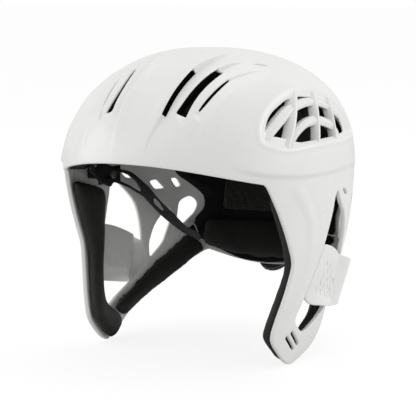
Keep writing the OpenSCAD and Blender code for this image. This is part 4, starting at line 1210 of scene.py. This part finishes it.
HARNESS_TRAVEL = 8
SLIDE_SLOT_R = 2.2
LAP_RIVET = (-42, 4.5)
LAP_HOLE_R = 1.9


def harness_x(y, depth):
    back = np.maximum(0, y - HARNESS_REAR_Y) / (HARNESS_REAR_L - depth)
    ahead = np.maximum(0, HARNESS_FRONT_Y - y) / (HARNESS_FRONT_L - depth)
    return (HARNESS_HALF_W - depth) * np.sqrt(np.maximum(0, 1 - back ** 2 - ahead ** 2))


def harness_flat(p):
    return p[:, 1:]


def harness_place(flat, depth):
    return np.column_stack([harness_x(flat[:, 0], depth), flat])


def on_harness(loop):
    loop = loop if loop_area(loop) > 0 else loop[::-1]
    return harness_place(loop, 0)


slide_slot = slot_outline((GUIDE_PIN[0] - HARNESS_TRAVEL, GUIDE_PIN[1]), GUIDE_PIN, SLIDE_SLOT_R)
arm_holes = [on_harness(eased(hole, 1.2, 1.0)) for hole in arm_openings]
arm_holes += [on_harness(eased(slide_slot, 0.5, 1.0)),
              on_harness(np.array([(LAP_RIVET[0] + LAP_HOLE_R * math.cos(a), LAP_RIVET[1] + LAP_HOLE_R * math.sin(a))
                                   for a in np.linspace(0, 2 * math.pi, 16, endpoint=False)]))]
arm_grid = flat_grid(2.0, (-48, -70), (68, 12))
arm_mesh = moulded_sheet(on_harness(eased(arm_outline, 3.0, 1.3)), arm_holes, lambda p: np.zeros(len(p)),
                         lambda p: np.full(len(p), HARNESS_T), 0.5, (arm_grid, arm_grid), (harness_flat, harness_place))

# Injection-moulded nylon: satin black, slightly waxy, with a fine spark-eroded grain of about 0.4 mm.
satin_nylon, tree, out = new_material("satin_black_nylon")
place = add(tree, "ShaderNodeTexCoord")
spark = add(tree, "ShaderNodeTexNoise", {"Vector": place.outputs["Object"], "Scale": 2400.0, "Detail": 2.0})
wash = add(tree, "ShaderNodeTexNoise", {"Vector": place.outputs["Object"], "Scale": 70.0, "Detail": 2.0})
gloss = add(tree, "ShaderNodeMapRange", {"Value": wash.outputs["Fac"], "To Min": 0.34, "To Max": 0.46})
relief = add(tree, "ShaderNodeBump", {"Height": spark.outputs["Fac"], "Strength": 0.3, "Distance": 0.00004})
body = add(tree, "ShaderNodeBsdfPrincipled", {"Base Color": linear("#19191A"), "Roughness": gloss.outputs[0],
                                              "IOR": 1.53, "Normal": relief.outputs[0]})
tree.links.new(body.outputs[0], out.inputs["Surface"])
for side, flip in (("left", False), ("right", True)):
    arm = mesh_piece("spring_arm_" + side, *joined([arm_mesh], (flip,)))
    arm.data.materials.append(satin_nylon)
    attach(arm, "harness")
    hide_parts("harness_arm_" + side)

# Brow band and pad: the band is a strip of the same nylon riveted to both arms, and carries a soft pad that
# leans back against the forehead.
BAND_END_Y = -35
band_turn = math.asin((HARNESS_FRONT_Y - BAND_END_Y) / (HARNESS_FRONT_L - HARNESS_LAP))


def band_place(u, v, depth):
    a = band_turn + (math.pi - 2 * band_turn) * u
    x = (HARNESS_HALF_W - depth) * np.cos(a)
    return np.column_stack([x, HARNESS_FRONT_Y - (HARNESS_FRONT_L - depth) * np.sin(a),
                            brow_z(x) + BAND_LIP + 10 * v])


band = mesh_piece("forehead_band", *slab(band_place, level(HARNESS_LAP), level(HARNESS_LAP + HARNESS_T), (230, 10),
                                         (80, 6), 0.5, 0.02))
faced_out(band)
band.data.materials.append(satin_nylon)
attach(band, "harness")
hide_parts("brow_band")
BROW_PAD_SEAT = HARNESS_LAP + HARNESS_T + FACET_H / 2 + PAD_GAP


def brow_pad_place(u, v, depth):
    a = np.radians(62 * (2 * u - 1))
    depth = depth + 9 * ease((v - 0.35) / 0.65)
    x = (HARNESS_HALF_W - depth) * np.sin(a)
    return np.column_stack([x, HARNESS_FRONT_Y - (HARNESS_FRONT_L - depth) * np.cos(a),
                            brow_z(x) + BAND_LIP - 1 + 25 * v])


pads["brow_pad"] = cushion("forehead_cushion", brow_pad_place, BROW_PAD_SEAT, 7, (160, 25), (56, 14), 0.06, spacer_mesh)

riders = {"brow_pad": "harness"}
for node, pad in pads.items():
    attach(pad, riders.get(node, "shell"))
    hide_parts(node)

# Rivets
# One rivet joins the brow band to each arm, and one at each temple guides the arm's slot, both of grey acetal with
# domed heads towards the wearer. The tree that makes them also makes the dial's screws.


def fastener_tree(name, finish):
    """A tree that sets a domed head and a shank on each point, turned as the point's own attribute says."""
    tree = bpy.data.node_groups.new(name, "GeometryNodeTree")
    tree.interface.new_socket("Places", in_out="INPUT", socket_type="NodeSocketGeometry")
    for label in ("Head Width", "Head Height", "Shank Width", "Shank Length"):
        tree.interface.new_socket(label, in_out="INPUT", socket_type="NodeSocketFloat")
    tree.interface.new_socket("Fasteners", in_out="OUTPUT", socket_type="NodeSocketGeometry")
    given = tree.nodes.new("NodeGroupInput").outputs
    half_head = add(tree, "ShaderNodeMath", {0: given["Head Width"], 1: 0.5}, operation="MULTIPLY")
    half_shank = add(tree, "ShaderNodeMath", {0: given["Shank Width"], 1: 0.5}, operation="MULTIPLY")
    ball = add(tree, "GeometryNodeMeshUVSphere", {"Segments": 24, "Rings": 14, "Radius": 1.0})
    size = add(tree, "ShaderNodeCombineXYZ", {0: half_head.outputs[0], 1: half_head.outputs[0],
                                              2: given["Head Height"]})
    dome = add(tree, "GeometryNodeTransform", {"Geometry": ball.outputs["Mesh"], "Scale": size.outputs[0]})
    where = add(tree, "ShaderNodeSeparateXYZ", {0: add(tree, "GeometryNodeInputPosition").outputs[0]})
    upper = add(tree, "ShaderNodeMath", {0: where.outputs[2], 1: 0.0}, operation="MAXIMUM")
    flat = add(tree, "ShaderNodeCombineXYZ", {0: where.outputs[0], 1: where.outputs[1], 2: upper.outputs[0]})
    head = add(tree, "GeometryNodeSetPosition", {"Geometry": dome.outputs[0], "Position": flat.outputs[0]})
    shank = add(tree, "GeometryNodeMeshCylinder", {"Vertices": 20, "Radius": half_shank.outputs[0],
                                                   "Depth": given["Shank Length"]})
    down = add(tree, "ShaderNodeMath", {0: given["Shank Length"], 1: -0.499}, operation="MULTIPLY")
    below = add(tree, "ShaderNodeCombineXYZ", {2: down.outputs[0]})
    lowered = add(tree, "GeometryNodeTransform", {"Geometry": shank.outputs["Mesh"], "Translation": below.outputs[0]})
    whole = add(tree, "GeometryNodeJoinGeometry")
    tree.links.new(lowered.outputs[0], whole.inputs[0])
    tree.links.new(head.outputs[0], whole.inputs[0])
    turn = add(tree, "GeometryNodeInputNamedAttribute", {"Name": "turn"}, data_type="FLOAT_VECTOR")
    placed = add(tree, "GeometryNodeInstanceOnPoints", {"Points": given["Places"], "Instance": whole.outputs[0],
                                                        "Rotation": turn.outputs["Attribute"]})
    real = add(tree, "GeometryNodeRealizeInstances", {"Geometry": placed.outputs[0]})
    painted = add(tree, "GeometryNodeSetMaterial", {"Geometry": real.outputs[0], "Material": finish})
    tree.links.new(painted.outputs[0], tree.nodes.new("NodeGroupOutput").inputs[0])
    return tree


def grown(name, tree, base, **sizes):
    """The plain mesh that a tree makes from a base mesh, with its named inputs set in metres."""
    maker = bpy.data.objects.new(name + "_maker", base)
    bpy.context.scene.collection.objects.link(maker)
    step = maker.modifiers.new("tree", "NODES")
    step.node_group = tree
    for item in tree.interface.items_tree:
        if item.in_out == "INPUT" and item.name.replace(" ", "_") in sizes:
            step[item.identifier] = sizes[item.name.replace(" ", "_")]
    bpy.context.view_layer.update()
    mesh = bpy.data.meshes.new_from_object(maker.evaluated_get(bpy.context.evaluated_depsgraph_get()))
    bpy.data.objects.remove(maker)
    mesh.polygons.foreach_set("use_smooth", [True] * len(mesh.polygons))
    mesh.set_sharp_from_angle(angle=math.radians(40))
    piece = bpy.data.objects.new(name, mesh)
    bpy.context.scene.collection.objects.link(piece)
    return piece


def seats(spots):
    """A mesh of points in millimetres, each with the turn that brings a fastener's axis to its direction."""
    base = bpy.data.meshes.new("fastener_seats")
    base.from_pydata([tuple(np.array(place) * MM) for place, _ in spots], [], [])
    turn = base.attributes.new("turn", "FLOAT_VECTOR", "POINT")
    for k, (_, way) in enumerate(spots):
        turn.data[k].vector = Vector(way).to_track_quat("Z", "Y").to_euler()
    return base


# Acetal rivets: moulded in mid grey, smooth and slightly waxy, with a clouded tone.
grey_acetal, tree, out = new_material("moulded_grey_acetal")
place = add(tree, "ShaderNodeTexCoord")
cloud = add(tree, "ShaderNodeTexNoise", {"Vector": place.outputs["Object"], "Scale": 300.0, "Detail": 2.0})
tint = add(tree, "ShaderNodeMix", {0: cloud.outputs["Fac"], 6: linear("#4C4E50"), 7: linear("#5C5E60")},
           data_type="RGBA")
relief = add(tree, "ShaderNodeBump", {"Height": cloud.outputs["Fac"], "Strength": 0.2, "Distance": 0.00005})
body = add(tree, "ShaderNodeBsdfPrincipled", {"Base Color": tint.outputs[2], "Roughness": 0.38, "IOR": 1.48,
                                              "Normal": relief.outputs[0]})
tree.links.new(body.outputs[0], out.inputs["Surface"])

RIVET_HEAD = 7.0
RIVET_HEAD_H = 1.2
LAP_SHANK = 3.6
GUIDE_SHANK = 3.8
GUIDE_SHANK_L = 7.9
LAP_DEPTH = HARNESS_LAP + HARNESS_T + 0.15
lap_x = float(harness_x(np.array([LAP_RIVET[0]]), 0)[0])
slope = float((harness_x(np.array([LAP_RIVET[0] + 0.5]), 0) - harness_x(np.array([LAP_RIVET[0] - 0.5]), 0))[0])
lap_spots, guide_spots = [], []
for s in (1, -1):
    way = np.array([s, -slope, 0.0]) / math.hypot(1, slope)
    lap_spots.append((np.array([s * lap_x, LAP_RIVET[0], LAP_RIVET[1]]) - way * LAP_DEPTH, -way))
    guide_spots.append(([s * (HARNESS_HALF_W - HARNESS_T - 0.3), *GUIDE_PIN], (-s, 0, 0)))
domed_rivet = fastener_tree("domed_rivet", grey_acetal)
harness_rivets = grown("lap_rivets", domed_rivet, seats(lap_spots), Head_Width=RIVET_HEAD * MM,
                       Head_Height=RIVET_HEAD_H * MM, Shank_Width=LAP_SHANK * MM, Shank_Length=LAP_DEPTH * MM)
guide_rivets = grown("guide_rivets_domed", domed_rivet, seats(guide_spots), Head_Width=RIVET_HEAD * MM,
                     Head_Height=RIVET_HEAD_H * MM, Shank_Width=GUIDE_SHANK * MM, Shank_Length=GUIDE_SHANK_L * MM)
for piece, node, rider in ((harness_rivets, "harness_rivets", "harness"), (guide_rivets, "guide_rivets", "shell")):
    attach(piece, rider)
    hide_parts(node)
for side in ("left", "right"):
    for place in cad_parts["temple_guide_" + side].material_slots:
        place.link, place.material = "OBJECT", satin_nylon

# Fit dial
# A nylon base held on the boss at the nape by three small steel screws, a spool and knob on a steel axle, and
# a soft rubber grip pushed over the knob's skirt. Its eighteen moulded flutes give hold to wet fingers.
DIAL_SEAT = np.array([0, 103.024, -77.5])
DIAL_LEAN = math.radians(131.628)
SCREW_RING = 8.9
SCREW_SEAT = 3.2
SCREW_HEAD = 3.2
SCREW_HEAD_H = 1.0
SCREW_SHANK = 1.8
SCREW_SHANK_L = 3.4


def dial_point(p):
    c, s = math.cos(DIAL_LEAN), math.sin(DIAL_LEAN)
    return DIAL_SEAT + [p[0], p[1] * c + p[2] * s, -p[1] * s + p[2] * c]


# Black oxide on the dial's steel screws and axle: dark grey, a soft shine, mottled where the oxide is thinner.
dark_steel, tree, out = new_material("black_oxide_steel")
place = add(tree, "ShaderNodeTexCoord")
wear = add(tree, "ShaderNodeTexNoise", {"Vector": place.outputs["Object"], "Scale": 900.0, "Detail": 3.0})
tint = add(tree, "ShaderNodeMix", {0: wear.outputs["Fac"], 6: linear("#2B2C2E"), 7: linear("#4A4B4D")},
           data_type="RGBA")
gloss = add(tree, "ShaderNodeMapRange", {"Value": wear.outputs["Fac"], "To Min": 0.28, "To Max": 0.5})
body = add(tree, "ShaderNodeBsdfPrincipled", {"Base Color": tint.outputs[2], "Metallic": 1.0,
                                              "Roughness": gloss.outputs[0]})
tree.links.new(body.outputs[0], out.inputs["Surface"])

axis = dial_point((0, 0, 1)) - DIAL_SEAT
screw_spots = [(dial_point((SCREW_RING * math.cos(a), SCREW_RING * math.sin(a), SCREW_SEAT)), axis)
               for a in np.radians([90, 210, 330])]
dial_screws = grown("dial_base_screws", fastener_tree("domed_screw", dark_steel), seats(screw_spots),
                    Head_Width=SCREW_HEAD * MM, Head_Height=SCREW_HEAD_H * MM, Shank_Width=SCREW_SHANK * MM,
                    Shank_Length=SCREW_SHANK_L * MM)
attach(dial_screws, "shell")
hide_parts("dial_screws")

# Thermoplastic rubber: dead matt, dark grey, with a fine dust-like grain that takes no highlight.
soft_rubber, tree, out = new_material("moulded_soft_rubber")
place = add(tree, "ShaderNodeTexCoord")
grain = add(tree, "ShaderNodeTexNoise", {"Vector": place.outputs["Object"], "Scale": 1600.0, "Detail": 3.0})
tint = add(tree, "ShaderNodeMix", {0: grain.outputs["Fac"], 6: linear("#26272A"), 7: linear("#34363A")},
           data_type="RGBA")
relief = add(tree, "ShaderNodeBump", {"Height": grain.outputs["Fac"], "Strength": 0.35, "Distance": 0.0001})
body = add(tree, "ShaderNodeBsdfPrincipled", {"Base Color": tint.outputs[2], "Roughness": 0.78, "IOR": 1.5,
                                              "Normal": relief.outputs[0], "Sheen Weight": 0.1})
tree.links.new(body.outputs[0], out.inputs["Surface"])


def flute_tree(finish):
    """A tree that bends a round ring into flutes about its own axis."""
    tree = bpy.data.node_groups.new("fluted_ring", "GeometryNodeTree")
    for label, kind in (("Base", "Geometry"), ("Radius", "Float"), ("Flute Count", "Float"), ("Flute Depth", "Float"),
                        ("Width", "Float"), ("Height", "Float")):
        tree.interface.new_socket(label, in_out="INPUT", socket_type="NodeSocket" + kind)
    tree.interface.new_socket("Ring", in_out="OUTPUT", socket_type="NodeSocketGeometry")
    given = tree.nodes.new("NodeGroupInput").outputs
    circle = add(tree, "GeometryNodeCurvePrimitiveCircle", {"Resolution": 252, "Radius": given["Radius"]})
    spot = add(tree, "GeometryNodeInputPosition")
    where = add(tree, "ShaderNodeSeparateXYZ", {0: spot.outputs[0]})
    turn = add(tree, "ShaderNodeMath", {0: where.outputs[1], 1: where.outputs[0]}, operation="ARCTAN2")
    wave = add(tree, "ShaderNodeMath", {0: turn.outputs[0], 1: given["Flute Count"]}, operation="MULTIPLY")
    swing = add(tree, "ShaderNodeMath", {0: wave.outputs[0]}, operation="COSINE")
    groove = add(tree, "ShaderNodeMapRange", {"Value": swing.outputs[0], "From Min": 0.15, "From Max": 1.0})
    deep = add(tree, "ShaderNodeMath", {0: groove.outputs[0], 1: given["Flute Depth"]}, operation="MULTIPLY")
    share = add(tree, "ShaderNodeMath", {0: deep.outputs[0], 1: given["Radius"]}, operation="DIVIDE")
    keep = add(tree, "ShaderNodeMath", {0: 1.0, 1: share.outputs[0]}, operation="SUBTRACT")
    bent = add(tree, "ShaderNodeVectorMath", {0: spot.outputs[0]}, operation="SCALE")
    tree.links.new(keep.outputs[0], bent.inputs["Scale"])
    path = add(tree, "GeometryNodeSetPosition", {"Geometry": circle.outputs[0], "Position": bent.outputs[0]})
    section = add(tree, "GeometryNodeCurvePrimitiveQuadrilateral", {"Width": given["Width"], "Height": given["Height"]})
    rounded = add(tree, "GeometryNodeFilletCurve", {"Curve": section.outputs[0], "Radius": 0.0004, "Count": 3},
                  mode="POLY")
    ring = add(tree, "GeometryNodeCurveToMesh", {"Curve": path.outputs[0], "Profile Curve": rounded.outputs[0]})
    real = add(tree, "GeometryNodeRealizeInstances", {"Geometry": ring.outputs[0]})
    painted = add(tree, "GeometryNodeSetMaterial", {"Geometry": real.outputs[0], "Material": finish})
    tree.links.new(painted.outputs[0], tree.nodes.new("NodeGroupOutput").inputs[0])
    return tree


GRIP_R = 13.55
GRIP_T = 0.9
GRIP_H = 4.6
GRIP_MID = 7.9
FLUTES = 18.0
FLUTE_DEEP = 0.4
grip = grown("fluted_grip", flute_tree(soft_rubber), bpy.data.meshes.new("ring_seat"), Radius=GRIP_R * MM,
             Flute_Count=FLUTES, Flute_Depth=FLUTE_DEEP * MM, Width=GRIP_T * MM, Height=GRIP_H * MM)
spots = np.array([v.co for v in grip.data.vertices]) / MM
grip.data.vertices.foreach_set("co", (np.array([dial_point(p + [0, 0, GRIP_MID]) for p in spots]) * MM).ravel())
faced_out(grip)
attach(grip, "knob")
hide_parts("dial_grip")
for node, finish in (("dial_base", satin_nylon), ("dial_knob", satin_nylon), ("dial_spool", grey_acetal),
                     ("dial_axle", dark_steel)):
    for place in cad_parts[node].material_slots:
        place.link, place.material = "OBJECT", finish

# Lace
# A thin braided cord, 1.2 mm across, from the spool in through the boss, round the rear foam in its groove and
# out to the end of each arm.
LACE_D = 1.2
LACE_DEPTH = REAR_SEAT + 0.9
LEAN_SHARE = math.sin(DIAL_LEAN)


def lace_route(s):
    lead = [(0, -s * 4.7, 5.6), (s * 6, -s * 4, 5.6), (s * 7.9, -s * 2, 5.2), (s * 8.5, -s * 0.2, 4.0),
            (s * 8.5, 0, 1.2), (s * 8.5, 0, -WALL * LEAN_SHARE), (s * 9.1, 0, -LACE_DEPTH * LEAN_SHARE)]
    route = [dial_point(p) for p in lead]
    for k in range(1, 10):
        p = rear_place(np.array([0.5 - 0.5 * k / 9]), np.array([GROOVE_V]), LACE_DEPTH)[0]
        route.append(p * [s, 1, 1])
    leave = along(rear_front_edge, [GROOVE_V])[0] + [-2.5, 0]
    end_x = float(harness_x(np.array([66.0]), HARNESS_T / 2)[0]) + 0.3
    last = [(s * float(wall_x(*leave, LACE_DEPTH)), *leave), (s * 60, 78, -57), (s * end_x, 66.6, -65)]
    return np.array(route + last)


def braided_tube(route, width, sides=10):
    """A closed tube along a route, with its length in millimetres and its turn kept as a texture map."""
    path = along(route, np.linspace(0, 1, 8 * len(route)))
    run = np.concatenate([[0], np.cumsum(np.linalg.norm(np.diff(path, axis=0), axis=1))])
    way = np.gradient(path, axis=0)
    way /= np.linalg.norm(way, axis=1)[:, None]
    side = np.cross(way[0], [0.3, 0.2, 0.9])
    points, maps = [], []
    for k, (p, w) in enumerate(zip(path, way)):
        side = side - w * (side @ w)
        side /= np.linalg.norm(side)
        for m in range(sides):
            a = 2 * math.pi * m / sides
            points.append(p + (side * math.cos(a) + np.cross(w, side) * math.sin(a)) * width / 2)
            maps.append((run[k], m / sides))
    faces = [(k * sides + m, k * sides + (m + 1) % sides, (k + 1) * sides + (m + 1) % sides, (k + 1) * sides + m)
             for k in range(len(path) - 1) for m in range(sides)]
    faces += [tuple(range(sides))[::-1], tuple((len(path) - 1) * sides + m for m in range(sides))]
    return np.array(points), faces, maps


tubes = [braided_tube(lace_route(s), LACE_D) for s in (1, -1)]
lace = mesh_piece("braided_lace", *joined([tube[:2] for tube in tubes]))
turns = np.array(tubes[0][2] + tubes[1][2])
lace_map = lace.data.uv_layers.new(name="braid")
for face in lace.data.polygons:
    corner = turns[[lace.data.loops[k].vertex_index for k in face.loop_indices]]
    wrap = corner[:, 1].max() - corner[:, 1].min() > 0.5
    for k, (u, v) in zip(face.loop_indices, corner):
        lace_map.data[k].uv = (u, v + 1 if wrap and v < 0.5 else v)

# Braided polyester: pale grey yarns that cross at about 1 mm along the lace, drawn as two crossing waves.
# The valleys between the yarns are painted darker as painted shade, following the same height as the bump.
braided_polyester, tree, out = new_material("braided_polyester")
place = add(tree, "ShaderNodeUVMap", uv_map="braid")
parts = add(tree, "ShaderNodeSeparateXYZ", {0: place.outputs[0]})
crossing = []
for sign in (1, -1):
    run = add(tree, "ShaderNodeMath", {0: parts.outputs[0], 1: 2 * math.pi}, operation="MULTIPLY")
    round_it = add(tree, "ShaderNodeMath", {0: parts.outputs[1], 1: sign * 8 * math.pi}, operation="MULTIPLY")
    both_ways = add(tree, "ShaderNodeMath", {0: run.outputs[0], 1: round_it.outputs[0]}, operation="ADD")
    crossing.append(add(tree, "ShaderNodeMath", {0: both_ways.outputs[0]}, operation="SINE"))
yarns = add(tree, "ShaderNodeMath", {0: crossing[0].outputs[0], 1: crossing[1].outputs[0]}, operation="MAXIMUM")
yarn_height_and_painted_shade = add(tree, "ShaderNodeMapRange", {"Value": yarns.outputs[0], "From Min": -1.0, "From Max": 1.0})
# painted shade: the colour follows the yarn height, darker in the valleys between the yarns
tint = add(tree, "ShaderNodeMix", {0: yarn_height_and_painted_shade.outputs[0], 6: linear("#6E7275"), 7: linear("#BFC3C6")},
           data_type="RGBA")
relief = add(tree, "ShaderNodeBump", {"Height": yarn_height_and_painted_shade.outputs[0], "Strength": 0.6, "Distance": 0.00012})
body = add(tree, "ShaderNodeBsdfPrincipled", {"Base Color": tint.outputs[2], "Roughness": 0.62, "IOR": 1.5,
                                              "Normal": relief.outputs[0], "Sheen Weight": 0.2})
tree.links.new(body.outputs[0], out.inputs["Surface"])
lace.data.materials.append(braided_polyester)
faced_out(lace)
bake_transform(lace)
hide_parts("lace")
